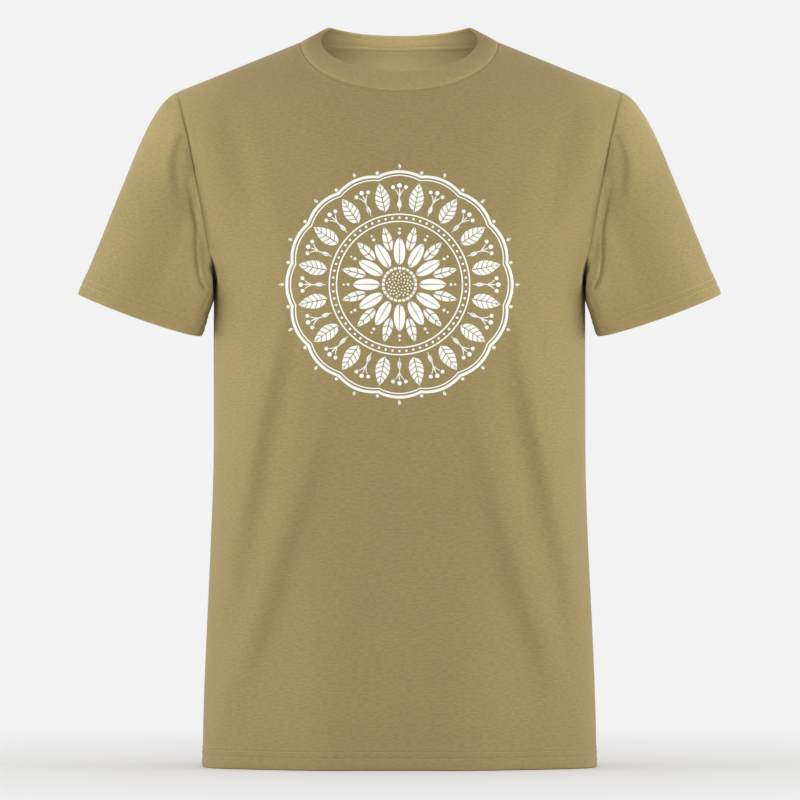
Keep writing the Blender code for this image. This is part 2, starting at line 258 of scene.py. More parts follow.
# ------------------------------------------------------------- the drape
# A fold is a soft ridge (height > 0) or valley (< 0) that runs down a panel:
# its heights above the hem, and at each its place across, its height and its
# width towards the middle and towards the side, all in millimetres.
FRONT_FOLDS = [
    # the long folds that fall from the armpits: each rises slowly from the
    # side and drops quickly towards the middle
    ((470, 447, 440, 420, 400, 380, 360, 341, 312, 263, 214, 165, 120),
     (-106, -111, -113, -117, -121, -126, -130, -133, -139, -147, -157, -167, -178),
     (0.0, 1.5, 3.0, 4.5, 5.8, 6.6, 7.2, 7.6, 8.0, 8.0, 6.5, 3.5, 0.0),
     (6, 7, 8, 9, 9, 9, 9, 9, 9, 10, 11, 12, 12), (14, 16, 18, 20, 22, 24, 26, 26, 26, 24, 20, 16, 12)),
    ((470, 447, 440, 420, 400, 380, 360, 341, 312, 263, 214, 165, 120),
     (100, 105, 112, 115, 118, 122, 127, 130, 137, 147, 157, 168, 180),
     (0.0, 1.5, 3.0, 4.5, 5.6, 6.4, 7.0, 7.4, 7.8, 8.0, 7.0, 5.0, 2.0),
     (6, 7, 8, 9, 9, 9, 9, 9, 9, 10, 11, 11, 11), (14, 16, 18, 20, 22, 24, 26, 26, 26, 24, 20, 15, 11)),
    # the next ones in, which start under the print and lean out to the hem
    ((400, 341, 312, 263, 214, 165, 116, 67, 16), (-68, -76, -84, -100, -117, -132, -149, -163, -170),
     (0.0, 2.6, 4.6, 5.4, 6.0, 5.6, 4.8, 3.0, 1.0), (12, 12, 11, 11, 11, 12, 13, 15, 20),
     (22, 22, 21, 20, 19, 18, 17, 17, 20)),
    ((400, 341, 312, 263, 214, 165, 116, 67, 16), (66, 74, 83, 96, 110, 124, 142, 156, 164),
     (0.0, 2.6, 4.4, 5.2, 5.6, 5.4, 4.8, 3.0, 1.0), (12, 12, 11, 11, 11, 12, 13, 16, 20),
     (22, 22, 21, 20, 19, 18, 17, 18, 22)),
    # the lower front stands forward of the cloth on either side of it
    ((225, 165, 116, 67, 8), (-58, -59, -62, -63, -63), (0.0, 2.2, 5.0, 7.4, 8.4),
     (16, 15, 15, 15, 16), (26, 30, 36, 42, 46)),
    ((225, 165, 116, 67, 8), (62, 61, 60, 57, 53), (0.0, 2.2, 5.0, 7.4, 8.4),
     (16, 15, 15, 15, 16), (26, 32, 38, 44, 48)),
    ((150, 90, 8), (-126, -128, -130), (0.0, -2.5, -3.5), 30, 30),
    ((150, 90, 8), (120, 124, 126), (0.0, -2.5, -3.5), 30, 30),
    # short faint folds under the armpit
    ((470, 452, 430, 405, 385), (-128, -134, -143, -152, -160), (0.0, 1.4, 1.6, 1.0, 0.0), 6, 11),
    ((470, 452, 430, 405, 385), (126, 134, 140, 147, 152), (0.0, 1.2, 1.4, 0.8, 0.0), 6, 11),
    # soft crest beside each armhole, and the hollow inside it
    ((656, 606, 556, 511), (-196, -189, -180, -170), (0.0, 2.2, 2.6, 0.0), 14, 14),
    ((656, 606, 556, 511), (196, 189, 180, 170), (0.0, 2.2, 2.6, 0.0), 14, 14),
    ((664, 646, 596, 553, 516), (-170, -168, -158, -147, -138), (0.0, -1.8, -2.8, -1.8, 0.0), 17, 12),
    ((664, 646, 596, 553, 516), (170, 168, 158, 147, 138), (0.0, -1.8, -2.8, -1.8, 0.0), 17, 12),
    # the hollows on the inner sides of the long folds
    ((440, 400, 341, 312, 263, 214, 165), (-98, -105, -122, -128, -137, -146, -155),
     (0.0, -0.8, -2.0, -2.2, -2.2, -1.6, -0.6), 13, 8),
    ((440, 400, 341, 312, 263, 214, 165), (98, 104, 117, 122, 133, 146, 157),
     (0.0, -0.8, -2.0, -2.2, -2.2, -1.8, -0.8), 13, 8),
    ((384, 312, 263, 214, 165, 116, 67), (-62, -68, -84, -100, -113, -132, -148),
     (0.0, -1.6, -1.8, -2.0, -2.0, -1.6, 0.0), 18, 9),
    ((384, 312, 263, 214, 165, 116, 67), (60, 67, 80, 94, 108, 126, 140),
     (0.0, -1.6, -1.8, -2.0, -2.0, -1.6, 0.0), 18, 9),
]
BACK_FOLDS = [
    ((466, 396, 316, 236, 156, 86), (-120, -128, -140, -151, -163, -172),
     (0.0, 3.5, 6.5, 7.5, 5.5, 1.0), 10, 22),
    ((466, 396, 316, 236, 156, 86), (117, 126, 139, 149, 160, 170),
     (0.0, 3.5, 7.0, 7.5, 6.0, 1.0), 10, 22),
    ((416, 336, 256, 176, 96, 16), (-66, -78, -94, -112, -131, -142),
     (0.0, 2.6, 4.8, 5.8, 5.0, 2.0), 12, 22),
    ((416, 336, 256, 176, 96, 16), (70, 82, 96, 110, 127, 138),
     (0.0, 2.4, 4.4, 5.6, 5.2, 2.0), 12, 22),
    ((256, 176, 96, 8), (-44, -46, -50, -52), (0.0, 2.2, 4.8, 6.5), 16, 36),
    ((256, 176, 96, 8), (52, 50, 48, 46), (0.0, 2.2, 4.6, 6.5), 16, 36),
    # between the shoulder blades
    ((640, 560, 470, 380, 300), (-150, -138, -126, -112, -100), (0.0, 1.8, 2.4, 1.4, 0.0), 26, 22),
    ((640, 560, 470, 380, 300), (148, 136, 122, 110, 100), (0.0, 1.8, 2.4, 1.4, 0.0), 26, 22),
]


def fold_height(folds, x, z):
    total = 0.0
    for zs, xs, hs, w_in, w_out in folds:
        knots = [q / 1000.0 for q in zs]
        xc = curve(z, knots, xs) / 1000.0
        h = curve(z, knots, hs) / 1000.0
        inner = np.where(np.sign(xc) * (xc - x) > 0, 1.0, 0.0)
        wi = curve(z, knots, w_in if hasattr(w_in, "__len__") else [w_in] * len(zs))
        wo = curve(z, knots, w_out if hasattr(w_out, "__len__") else [w_out] * len(zs))
        width = np.where(inner > 0, wi, wo) / 1000.0
        total = total + h * bell((x - xc) / width)
    return total


# ------------------------------------------------------------- body panels
STITCH_LOW, STITCH_HIGH, HEM_TOP = 0.0110, 0.0172, 0.0205


def hem_profile(d):
    """Doubled hem: thicker up to its top edge, drawn in along both stitch rows."""
    doubled = 0.00055 * (1.0 - smooth((d - HEM_TOP + 0.0008) / 0.0022))
    rows = (0.00036 * bell((d - STITCH_LOW) / 0.0011)
            + 0.00042 * bell((d - STITCH_HIGH) / 0.0011))
    roll = 0.00030 * bell((d - 0.0048) / 0.0030) + 0.00012 * bell((d - 0.0141) / 0.0016)
    edge = -0.0004 * (1.0 - smooth(d / 0.0012))
    return doubled - rows + roll + edge


def seam_dip(d, depth, width):
    return -depth * bell(d / width)


def ledge(d, height, start, end, soft):
    """Raised strip where seam allowance lies under the cloth."""
    return height * smooth((d - start) / soft) * (1.0 - smooth((d - end) / soft))


def column_stations(count):
    """Even steps round the girth, closer at the side."""
    j = np.linspace(0.0, COLS_ALL, 4001)
    p = panel_form(-1, j, (0.30, None))
    arc = run_length(p[None], 1)[0]
    t = np.linspace(0.0, 1.0, count)
    t = 1.0 - (1.0 - t) ** 1.18
    return np.interp(t * arc[-1], arc, j)


HALF_COLS = 97
J_HALF = column_stations(HALF_COLS)
Z_LOW = np.concatenate([np.arange(0.0, 0.0232, 0.00072),
                        np.linspace(0.0240, ARMPIT_Z, 131)[:-1]])
Q_TOP = np.linspace(0.0, 1.0, 84)
TURN_TOP = 1.0 - (1.0 - Q_TOP) ** 1.35
V_TOP = 0.5 * (1.0 - np.cos(PI * TURN_TOP))


def body_grid(side):
    """Base points of a whole panel, columns from -X to +X."""
    rows = [panel_form(side, J_HALF, (z, None)) for z in Z_LOW]
    rows += [panel_form(side, J_HALF, (None, v)) for v in V_TOP]
    half = np.array(rows)
    half[:, 0, 0] = 0.0
    other = half[:, :0:-1].copy()
    other[..., 0] *= -1.0
    return np.concatenate([other, half], axis=1)


def body_panel(name, side, folds):
    base = body_grid(side)
    normal = normals_of(base) * (1.0 if side < 0 else -1.0)
    # the outermost columns lean straight to the side under the underarm
    x, z = base[..., 0], base[..., 2]
    cols = base.shape[1]
    from_left = run_length(base, 1)
    d_side = np.minimum(from_left, from_left[:, -1:] - from_left)
    up = run_length(base, 0)
    d_hem, d_top = up, up[-1:] - up
    under = np.arange(base.shape[0])[:, None] < len(Z_LOW)
    jj = np.concatenate([J_HALF[:0:-1], J_HALF])[None, :]
    neck = smooth((COLS_NECK + 0.35 - jj) / 0.7)
    # drape
    calm = (smooth(d_side / 0.020) * smooth(d_top / 0.030))
    height = fold_height(folds, x, z) * calm
    height = height + ripples(7 + side, 9, x, z, (0.07, 0.16), (0.16, 0.50),
                              0.00042) * calm * smooth((d_top - 0.01) / 0.05)
    # hem
    height = height + hem_profile(d_hem)
    # side seam under the underarm, armhole above it
    side_line = seam_dip(d_side, 0.0009, 0.0012) + ledge(d_side, 0.00030, 0.001, 0.006, 0.003)
    low_arm = 1.0 - smooth((z - 0.550) / 0.060)
    high_arm = smooth((z - 0.600) / 0.060)
    arm_line = (seam_dip(d_side, 0.0007 + 0.0009 * low_arm - 0.0003 * high_arm,
                         0.0010 + 0.0002 * low_arm)
                + ledge(d_side, 0.00060 - 0.0004 * high_arm, 0.0010, 0.0065, 0.0035))
    height = height + np.where(under, side_line, arm_line)
    # the cloth stands full beside the armpit and turns sharply into it
    beyond = np.maximum(d_side - 0.018, 0.0) / 0.034
    full = (0.0070 * bell((z - 0.500) / np.where(z > 0.500, 0.062, 0.110))
            * smooth(d_side / 0.013) * bell(beyond))
    # neckline seam and shoulder seam
    neck_line = seam_dip(d_top, 0.00025, 0.0009) + ledge(d_top, 0.00040, 0.0012, 0.0042, 0.0016)
    shoulder_line = seam_dip(d_top, 0.0007, 0.0012) + ledge(
        d_top, 0.00045 if side > 0 else 0.00015, 0.001, 0.007, 0.003)
    height = height + neck * neck_line + (1.0 - neck) * shoulder_line
    P = base + normal * height[..., None]
    P[..., 1] += side * full
    forward = np.where(under, 0.0, seam_forward(z, side))
    worn = P[..., 1] + side * forward * (1.0 - smooth(d_side / 0.030))
    if side < 0:
        # in front, the cloth stays nearly flat up to the armhole and turns
        # sharply to the side under the arm
        ahead = curve(z, (0.4200, 0.4400, 0.4600, 0.4773, 0.4950, 0.5160, 0.5460, 0.5770, 0.6000),
                      (-30.0, -38.0, -45.0, -50.0, -54.0, -56.0, -55.5, -55.0, -54.4)) / 1000.0
        reach = smooth((z - 0.452) / 0.024) * (1.0 - smooth((z - 0.560) / 0.045))
        mid = cols // 2
        own = np.where(np.arange(cols)[None, :] < mid, worn[:, :1], worn[:, -1:])
        in_x = np.maximum(base[:, -1:, 0] - np.abs(x), 0.0)
        line = lerp(own, ahead - 0.35 * in_x, smooth(in_x / 0.0042))
        line = line + side * np.where(under, side_line, arm_line)
        soft = 0.0030
        flat = -soft * np.logaddexp(-P[..., 1] / soft, -line / soft)
        flat = lerp(own, flat, smooth(in_x / 0.0042))
        worn = lerp(worn, flat, reach)
    P[..., 1] = worn
    from_left = run_length(P, 1)
    mid = cols // 2
    across = from_left - from_left[:, mid:mid + 1]
    return {"name": name, "P": P, "uv": np.stack([across, up], -1), "side": side,
            "d_side": d_side, "d_top": d_top, "flip": side > 0, "closed": False}


def pull(P, d, offset, reach):
    """Move a grid's edge by an offset that fades out over a distance."""
    return P + offset * (1.0 - smooth(d / reach))[..., None]


def seam_forward(z, side):
    """How far the armhole seam stands out over the form before it dives under
    the arm; z is the seam's own height."""
    push = curve(z, (0.4775, 0.4820, 0.4870, 0.4920, 0.4965, 0.5010, 0.5070, 0.5160, 0.5460, 0.5850),
                 (0.0, 5.0, 14.0, 26.0, 34.0, 33.5, 28.5, 24.0, 13.0, 2.0)) / 1000.0
    if side < 0:
        return push
    # behind, it dives more gently
    return curve(z, (0.4775, 0.4860, 0.5000, 0.5160, 0.5460, 0.5850), (0.0, 4.0, 11.0, 13.0, 8.0, 1.2)) / 1000.0


def join_panels(front, back):
    """Bring the front and back panels together along the sides and shoulders."""
    under = (np.arange(front["P"].shape[0]) <= len(Z_LOW))[:, None]
    for edge in (0, -1):
        meet = 0.5 * (front["P"][:, edge] + back["P"][:, edge])
        for part in (front, back):
            gap = np.where(under, meet - part["P"][:, edge], 0.0)[:, None]
            near = np.arange(part["P"].shape[1])[None, :] * 1.0
            mid = part["P"].shape[1] // 2
            own = (near < mid) if edge == 0 else (near > mid)
            d = np.where(own, part["d_side"], 1.0)
            part["P"] = pull(part["P"], d, gap, 0.006)
    jj = np.concatenate([J_HALF[:0:-1], J_HALF])
    on_ridge = (jj >= COLS_NECK)[:, None]
    meet = 0.5 * (front["P"][-1] + back["P"][-1])
    for part in (front, back):
        gap = np.where(on_ridge, meet - part["P"][-1], 0.0)[None]
        part["P"] = pull(part["P"], part["d_top"], gap, 0.006)


def finish_panel(part):
    P = part["P"]
    obj = new_object(part["name"], P, grid_faces(*P.shape[:2], closed_cols=part["closed"],
                                                 flip=part["flip"]))
    set_uv(obj, part["uv"].reshape(-1, 2))
    N = normals_of(P, closed_cols=part["closed"])
    mid = P.mean(axis=1, keepdims=True) if part["closed"] else np.array([0.0, Y_MID, 0.3])
    if ((P - mid) * N).sum() < 0:
        N = -N
    part["N"], part["obj"] = N, obj
    return obj


# ------------------------------------------------------------- sleeves
def armhole(side, turn):
    """Armhole seam on +X; turn 0 at the underarm, 1 at the ridge."""
    v = 0.5 * (1.0 - np.cos(PI * turn))
    return panel_form(side, np.full_like(v, COLS_ALL), (None, v))


def sleeve_base(s_list):
    front = armhole(-1, TURN_TOP[::-1])
    back = armhole(1, TURN_TOP[1:-1])
    seam = np.concatenate([front, back])
    angle = np.concatenate([PI * (1.0 - TURN_TOP[::-1]), PI + PI * TURN_TOP[1:-1]])
    under = 0.5 * (1.0 - np.cos(angle))
    fr = np.sin(angle)
    across = np.array([math.cos(CUFF_TILT), 0.0, math.sin(CUFF_TILT)])
    axis = np.array([math.sin(CUFF_TILT), 0.0, -math.cos(CUFF_TILT)])
    droop = CUFF_DROOP * fr * np.where(fr > 0, 1.0, 0.35)
    cuff = (CUFF_MID + axis * droop[:, None] + across * (CUFF_W * np.cos(angle))[:, None]
            + np.array([0.0, -1.0, 0.0]) * (CUFF_D * fr)[:, None])
    leave = unit(np.stack([lerp(0.925, 0.2875, under ** 0.8), -0.22 * fr,
                           lerp(-0.380, -0.958, under ** 0.8)], -1))
    arrive = unit(np.stack([lerp(0.390, 0.2875, under), -0.05 * fr,
                            lerp(-0.920, -0.958, under)], -1))
    span = np.linalg.norm(cuff - seam, axis=-1)
    h0 = (span * lerp(0.130, 0.33, under))[:, None]
    h1 = (span * lerp(0.690, 0.33, under ** 0.7))[:, None]
    p1, p2 = seam + leave * h0, cuff - arrive * h1
    s = np.asarray(s_list)[:, None, None]
    q = 1.0 - s
    return (seam * q ** 3 + p1 * 3 * q * q * s + p2 * 3 * q * s * s + cuff * s ** 3), angle


S_STATIONS = np.concatenate([np.linspace(0.0, 0.085, 23)[:-1], np.linspace(0.085, 0.30, 23)[:-1],
                             np.linspace(0.30, 0.84, 36)[:-1], np.linspace(0.84, 1.0, 29)])


# lines of the two tucks as seen from the front, (x, z) in mm on the +X side
SOFT_TUCK = [(210.5, 621.8), (215.2, 609.0), (218.7, 595.2), (218.7, 582.4), (217.2, 567.6), (214.7, 546.0)]
LONG_TUCK = [(210.3, 579.5), (204.7, 559.8), (202.4, 546.0), (199.7, 530.2), (199.3, 513.5),
             (198.2, 493.8), (195.0, 478.0), (189.1, 468.2)]


def from_line(line, x, z):
    """Signed distance to a drawn line, positive on its outer side, and the
    share of its length at the nearest point."""
    k = np.array(line) / 1000.0
    t = np.linspace(0.0, 1.0, 81)
    at = np.linspace(0.0, 1.0, len(k))
    q = np.stack([curve(t, at, k[:, 0]), curve(t, at, k[:, 1])], -1)
    best, side, share = np.full(x.shape, 1e9), np.zeros(x.shape), np.zeros(x.shape)
    for i in range(len(q) - 1):
        e = q[i + 1] - q[i]
        w = np.stack([x - q[i, 0], z - q[i, 1]], -1)
        f = np.clip((w @ e) / (e @ e), 0.0, 1.0)
        d = np.hypot(w[..., 0] - f * e[0], w[..., 1] - f * e[1])
        turn = np.where(e[0] * w[..., 1] - e[1] * w[..., 0] > 0, 1.0, -1.0)
        near = d < best
        best, side = np.where(near, d, best), np.where(near, turn, side)
        share = np.where(near, (i + f) / (len(q) - 1), share)
    return best * side, share


def sleeve(name, sign, front, back):
    base, angle = sleeve_base(S_STATIONS)
    normal = -normals_of(base, closed_cols=True)
    mid = base.mean(axis=1, keepdims=True)
    if ((base - mid) * normal).sum() < 0:
        normal = -normal
    d_seam = run_length(base, 0)
    d_cuff = d_seam[-1:] - d_seam
    a = angle[None, :]
    under = 0.5 * (1.0 - np.cos(a))
    facing = np.abs(np.sin(a))
    # worn flat in front and behind, so its sides turn in quickly
    outer = np.cos(a) > 0
    square = (np.abs(np.cos(a)) ** 3 + np.abs(np.sin(a)) ** 3) ** (-1.0 / 3.0) - 1.0
    starts = lerp(0.040, 0.0100, smooth((under - 0.30) / 0.25))
    lets_go = lerp(0.021, 0.0100, smooth((under - 0.30) / 0.25))
    rises = lerp(0.100, 0.040, smooth((under - 0.18) / 0.25))
    height = 0.062 * np.where(outer, square, 0.0) * smooth(d_seam / rises)
    inward = curve(d_seam, (0.0, 0.010, 0.017, 0.035, 0.052, 0.063),
                   (0.0, 4.9, 5.1, 4.2, 3.2, 0.8)) / 1000.0
    height = height + inward * smooth((under - 0.78) / 0.16)
    # the seam
    deep = smooth((under - 0.42) / 0.35)
    height = height + seam_dip(d_seam, 0.0004 + 0.0004 * smooth((under - 0.02) / 0.2) + 0.0008 * deep,
                               0.0011 + 0.0002 * deep)
    # the cap rolls over the seam and falls away from it
    cap = smooth((under - 0.01) / 0.05) * (1.0 - smooth((under - 0.26) / 0.26)) * np.where(
        np.sin(a) > 0, 1.0, 0.7)
    height = height + 0.0024 * cap * (d_seam / 0.016) * np.exp(1.0 - d_seam / 0.016)
    height = height + hem_profile(d_cuff)
    calm = smooth(d_seam / 0.03) * smooth(d_cuff / 0.02)
    across = run_length(np.concatenate([base, base[:, :1]], 1), 1)[:, :-1]
    height = height + ripples(23, 7, across[40:41], d_cuff, (0.06, 0.12), (0.10, 0.30),
                              0.0004) * calm
    P = base + normal * height[..., None]
    # the inner sides stay in the front's own plane almost to the edge, and the
    # sleeve starts from where the armhole seam stands
    n = np.where(np.sin(a) > 0, 13.0, 4.5)
    flat = (1.0 - np.minimum(np.abs(np.cos(a)), 1.0) ** n) ** (1.0 / n)
    ahead, behind = base[..., 1].min(axis=1)[:, None], base[..., 1].max(axis=1)[:, None]
    wanted = 0.5 * (ahead + behind) - np.sign(np.sin(a)) * 0.5 * (behind - ahead) * flat
    share = np.where(outer, 0.0, 0.92 * smooth(np.abs(np.cos(a)) / 0.35)) * smooth(d_seam / starts)
    P[..., 1] += (wanted - base[..., 1]) * share
    start = np.where(np.sin(a) > 0, seam_forward(base[:1, :, 2], -1), seam_forward(base[:1, :, 2], 1))
    P[..., 1] -= np.sign(np.sin(a)) * start * (1.0 - smooth(d_seam / lets_go))
    # two tucks beside the armhole, a short soft one over a long sharp one
    ahead = np.where(np.sin(a) > 0, 1.0, 0.6) * smooth(np.abs(np.sin(a)) / 0.12)
    gap, share = from_line(SOFT_TUCK, P[..., 0], P[..., 2])
    soft = smooth((share + 0.06) / 0.20) * (1.0 - smooth((share - 0.62) / 0.38)) * ahead
    press = 0.0028 * soft * (bell(gap / 0.0042) - 0.6 * bell((gap - 0.0090) / 0.0065))
    gap, share = from_line(LONG_TUCK, P[..., 0], P[..., 2])
    sharp = smooth(share / 0.42) * (1.0 - smooth((share - 0.93) / 0.07)) * ahead
    press = press + sharp * (0.0027 * bell(gap / 0.0013) - 0.0011 * bell((gap + 0.0034) / 0.0026)
                             - 0.0008 * bell((gap - 0.0050) / 0.0045))
    P[..., 1] += np.sign(np.sin(a)) * press * smooth(d_seam / 0.003)
    # beside the body it lies against the side and doesn't enter it
    beside = half_width(np.minimum(P[..., 2], ARMPIT_Z)) + 0.0003
    inside = np.where(P[..., 2] < ARMPIT_Z + 0.012, smooth(d_seam / 0.004), 0.0)
    P[..., 0] = np.where(P[..., 0] < beside, lerp(P[..., 0], beside, inside), P[..., 0])
    P[..., 0] *= sign
    # sewn to the body: the first ring lies on the panels' own edges
    edge = -1 if sign > 0 else 0
    first = len(Z_LOW)
    f, b = front["P"][first:, edge], back["P"][first:, edge]
    ring = np.concatenate([f[::-1], b[1:-1]])
    P = pull(P, d_seam, (ring - P[0])[None], 0.005 + 0 * d_seam)
    return {"name": name, "P": P, "closed": True, "flip": sign < 0, "side": sign,
            "uv": np.stack([across[60:61] + 0 * d_cuff, d_cuff], -1),
            "d_seam": d_seam, "d_cuff": d_cuff, "angle": angle}


# ------------------------------------------------------------- neckband
def seam_points(turn):
    turn = np.clip(turn, 0.0, PI)
    t = np.minimum(turn, PI - turn) / (0.5 * PI)
    fx, fz = neckline(-1, t)
    bx, bz = neckline(1, t)
    return np.where((turn <= 0.5 * PI)[:, None], torso(-1, fx, fz), torso(1, bx, bz))


def outward(points, turn):
    """Unit normals of the torso form at seam points."""
    e = 0.0004

    def level(side, x, y, z):
        full = lerp(HEM[side], CHEST[side], smooth(z / 0.50))
        fall = (ridge_z(x) - z) / DROP[side]
        oval = (1.0 - oval_share(x, z)) ** (2.0 / ROUND)
        return ((y - Y_MID) / full) ** 2 - oval * (1.0 - np.exp(-2.0 * fall))
    x, y, z = points.T
    out = []
    for side in (-1, 1):
        out.append(np.stack([level(side, x + e, y, z) - level(side, x - e, y, z),
                             level(side, x, y + e, z) - level(side, x, y - e, z),
                             level(side, x, y, z + e) - level(side, x, y, z - e)], -1))
    return unit(np.where((turn <= 0.5 * PI)[:, None], out[0], out[1]))


def band_surface(levels, turn):
    """Points (levels, turns, 3) of the neckband's outside, turn 0 to pi, +X."""
    seam = seam_points(turn)
    run = seam_points(turn + 0.01) - seam_points(turn - 0.01)
    mid_y = 0.5 * (COLLAR_FRONT_Y + COLLAR_BACK_Y)
    half_y = 0.5 * (COLLAR_BACK_Y - COLLAR_FRONT_Y)
    ahead = turn + 0.30 * np.sin(turn)
    edge_y = mid_y - half_y * np.cos(ahead)
    rise = COLLAR_FRONT_Z + COLLAR_RISE * (edge_y - COLLAR_FRONT_Y)
    fall = COLLAR_BACK_Z + COLLAR_FALL * (COLLAR_BACK_Y - edge_y)
    edge_z = 0.5 * (rise + fall - np.sqrt((rise - fall) ** 2 + 0.0025 ** 2))
    edge = np.stack([COLLAR_X * np.sin(ahead), Y_MID + edge_y, edge_z], -1)
    span = np.linalg.norm(edge - seam, axis=-1, keepdims=True)
    up = unit(np.cross(run, outward(seam, turn)))
    up = np.where(((up * (edge - seam)).sum(-1) < 0)[:, None], -up, up)
    start, end = up * 0.9 * span, (edge - seam) * 0.9
    h = np.asarray(levels)[:, None, None]
    return (seam * (2 * h ** 3 - 3 * h ** 2 + 1) + start * (h ** 3 - 2 * h ** 2 + h)
            + edge * (3 * h ** 2 - 2 * h ** 3) + end * (h ** 3 - h ** 2))


RIBS = 288


def neckband():
    """Folded rib band: outside, rounded top edge and inside, in one skin."""
    per_rib = 7
    half = RIBS * per_rib // 2
    fine = np.linspace(0.0, PI, 6001)
    mid = band_surface([0.5], fine)
    arc = run_length(mid, 1)[0]
    stations = np.linspace(0.0, arc[-1], half + 1)
    turn = np.interp(stations, arc, fine)
    levels = np.concatenate([[0.0, 0.03], np.linspace(0.07, 0.94, 10), [0.97, 1.0]])
    within = np.array([1.0, 0.97, 0.93, 0.84, 0.74, 0.64, 0.54, 0.45, 0.38, 0.34, 0.315, 0.30, 0.288,
                       0.275, 0.263, 0.25, 0.238, 0.225, 0.213, 0.20, 0.185, 0.165, 0.12, 0.0])
    # mirror the half to the whole loop
    def whole(A):
        other = A[:, -2:0:-1].copy()
        other[..., 0] *= -1.0
        return np.concatenate([A, other], axis=1)

    def loop(at):
        S = band_surface(at, turn)
        n = normals_of(S)
        if n[5, 0, 1] > 0:
            n = -n
        return whole(S), whole(n)
    S, n = loop(levels)
    U, m = loop(within[::-1])
    U, m = U[::-1], m[::-1]
    k = np.arange(S.shape[1])
    rib = np.cos(2 * PI * k / per_rib)[None, :]
    h = levels[:, None]
    thick = 0.0023
    body = smooth(h / 0.08) * (1.0 - 0.5 * smooth((h - 0.93) / 0.07))
    puff = 0.0009 * np.sin(PI * np.clip(h, 0, 1)) ** 0.7
    lift = puff + 0.00016 * rib * body - 0.0001 * (1.0 - smooth(h / 0.05))
    outer = S + n * lift[..., None]
    # over the top edge: a half round from the outside to the inside
    along = unit(S[-1] - S[-2])
    top, nt = S[-1], n[-1]
    arcs = []
    for th in np.linspace(0.0, PI, 9)[1:-1]:
        r = 0.5 * thick
        centre = top - nt * r
        arcs.append(centre + nt * (r * math.cos(th)) + along * (r * 0.9 * math.sin(th))
                    + nt * (0.00008 * rib[0] * math.cos(th))[:, None])
    # inside, the rib ends in a small step over the tape
    h = within[:, None]
    body = smooth(h / 0.08) * (1.0 - 0.5 * smooth((h - 0.93) / 0.07))
    step = (0.0009 * smooth((h - 0.262) / 0.045) * (1.0 - smooth((h - 0.55) / 0.40))
            - 0.0013 * bell((h - 0.232) / 0.032))
    inner = U - m * (thick + step + 0.00012 * rib * body)[..., None]
    P = np.concatenate([outer, np.array(arcs), inner], axis=0)
    # close the skin along the seam side
    obj = new_object("neck_rib", P, grid_faces(*P.shape[:2], closed_cols=True, closed_rows=True))
    d = run_length(P, 0)
    around = run_length(np.concatenate([S[6:7], S[6:7, :1]], 1), 1)[0, :-1]
    set_uv(obj, np.stack([around[None] + 0 * d, d], -1).reshape(-1, 2))
    return obj, S, n


# ------------------------------------------------------------- layers inside
def rows_at(D, d):
    """In each column, the fractional row where the distance D reaches d."""
    out = np.empty(D.shape[1])
    for c in range(D.shape[1]):
        col, rows = D[:, c], np.arange(D.shape[0], dtype=float)
        if col[0] > col[-1]:
            col, rows = col[::-1], rows[::-1]
        out[c] = np.interp(d, col, rows)
    return out


def along_line(P, N, D, d, closed):
    """Points and normals of the line at distance d from an edge."""
    r, c = rows_at(D, d), np.arange(D.shape[1], dtype=float)
    return sample(P, r, c, closed), unit(sample(N, r, c, closed))


def layered(P, N, D, profile, closed):
    """Rows of points at (depth under the outer face, distance from the edge)."""
    rows = []
    for depth, d in profile:
        pts, n = along_line(P, N, D, d, closed)
        rows.append(pts - n * depth)
    return np.array(rows)


TURN_UP = ([(0.00030, 0.0012), (0.00015, 0.0006), (0.00035, 0.0002), (0.00085, 0.0000),
            (0.00140, 0.0001), (0.00185, 0.0005), (0.00210, 0.0011)]
           + [(0.00215 - 0.00022 * math.exp(-((d - STITCH_LOW) / 0.0012) ** 2)
               - 0.00022 * math.exp(-((d - STITCH_HIGH) / 0.0012) ** 2), d)
              for d in np.linspace(0.0018, 0.0203, 26)])


def turned_edge(name, P, N, D):
    """Inner layer of a turned-up edge, with the roll of the fold, as one ring."""
    R = layered(P, N, D, TURN_UP, True)
    inward = -along_line(P, N, D, 0.010, True)[1]
    face = normals_of(R, closed_cols=True)[18]
    obj = new_object(name, R, grid_faces(*R.shape[:2], closed_cols=True,
                                         flip=(face * inward).sum() < 0))
    around = run_length(np.concatenate([R[15:16], R[15:16, :1]], 1), 1)[:, :-1]
    up = run_length(R, 0)
    set_uv(obj, np.stack([around + 0 * up, up + 0 * around], -1).reshape(-1, 2))
    return obj


def body_ring():
    """Both panels' lower rows as one closed ring, from -X round the front."""
    k = 35
    f, b = FRONT, BACK
    P = np.concatenate([f["P"][:k], b["P"][:k, -2:0:-1]], 1)
    N = unit(np.concatenate([f["N"][:k], b["N"][:k, -2:0:-1]], 1))
    D = np.concatenate([f["uv"][:k, :, 1], b["uv"][:k, -2:0:-1, 1]], 1)
    return P, N, D


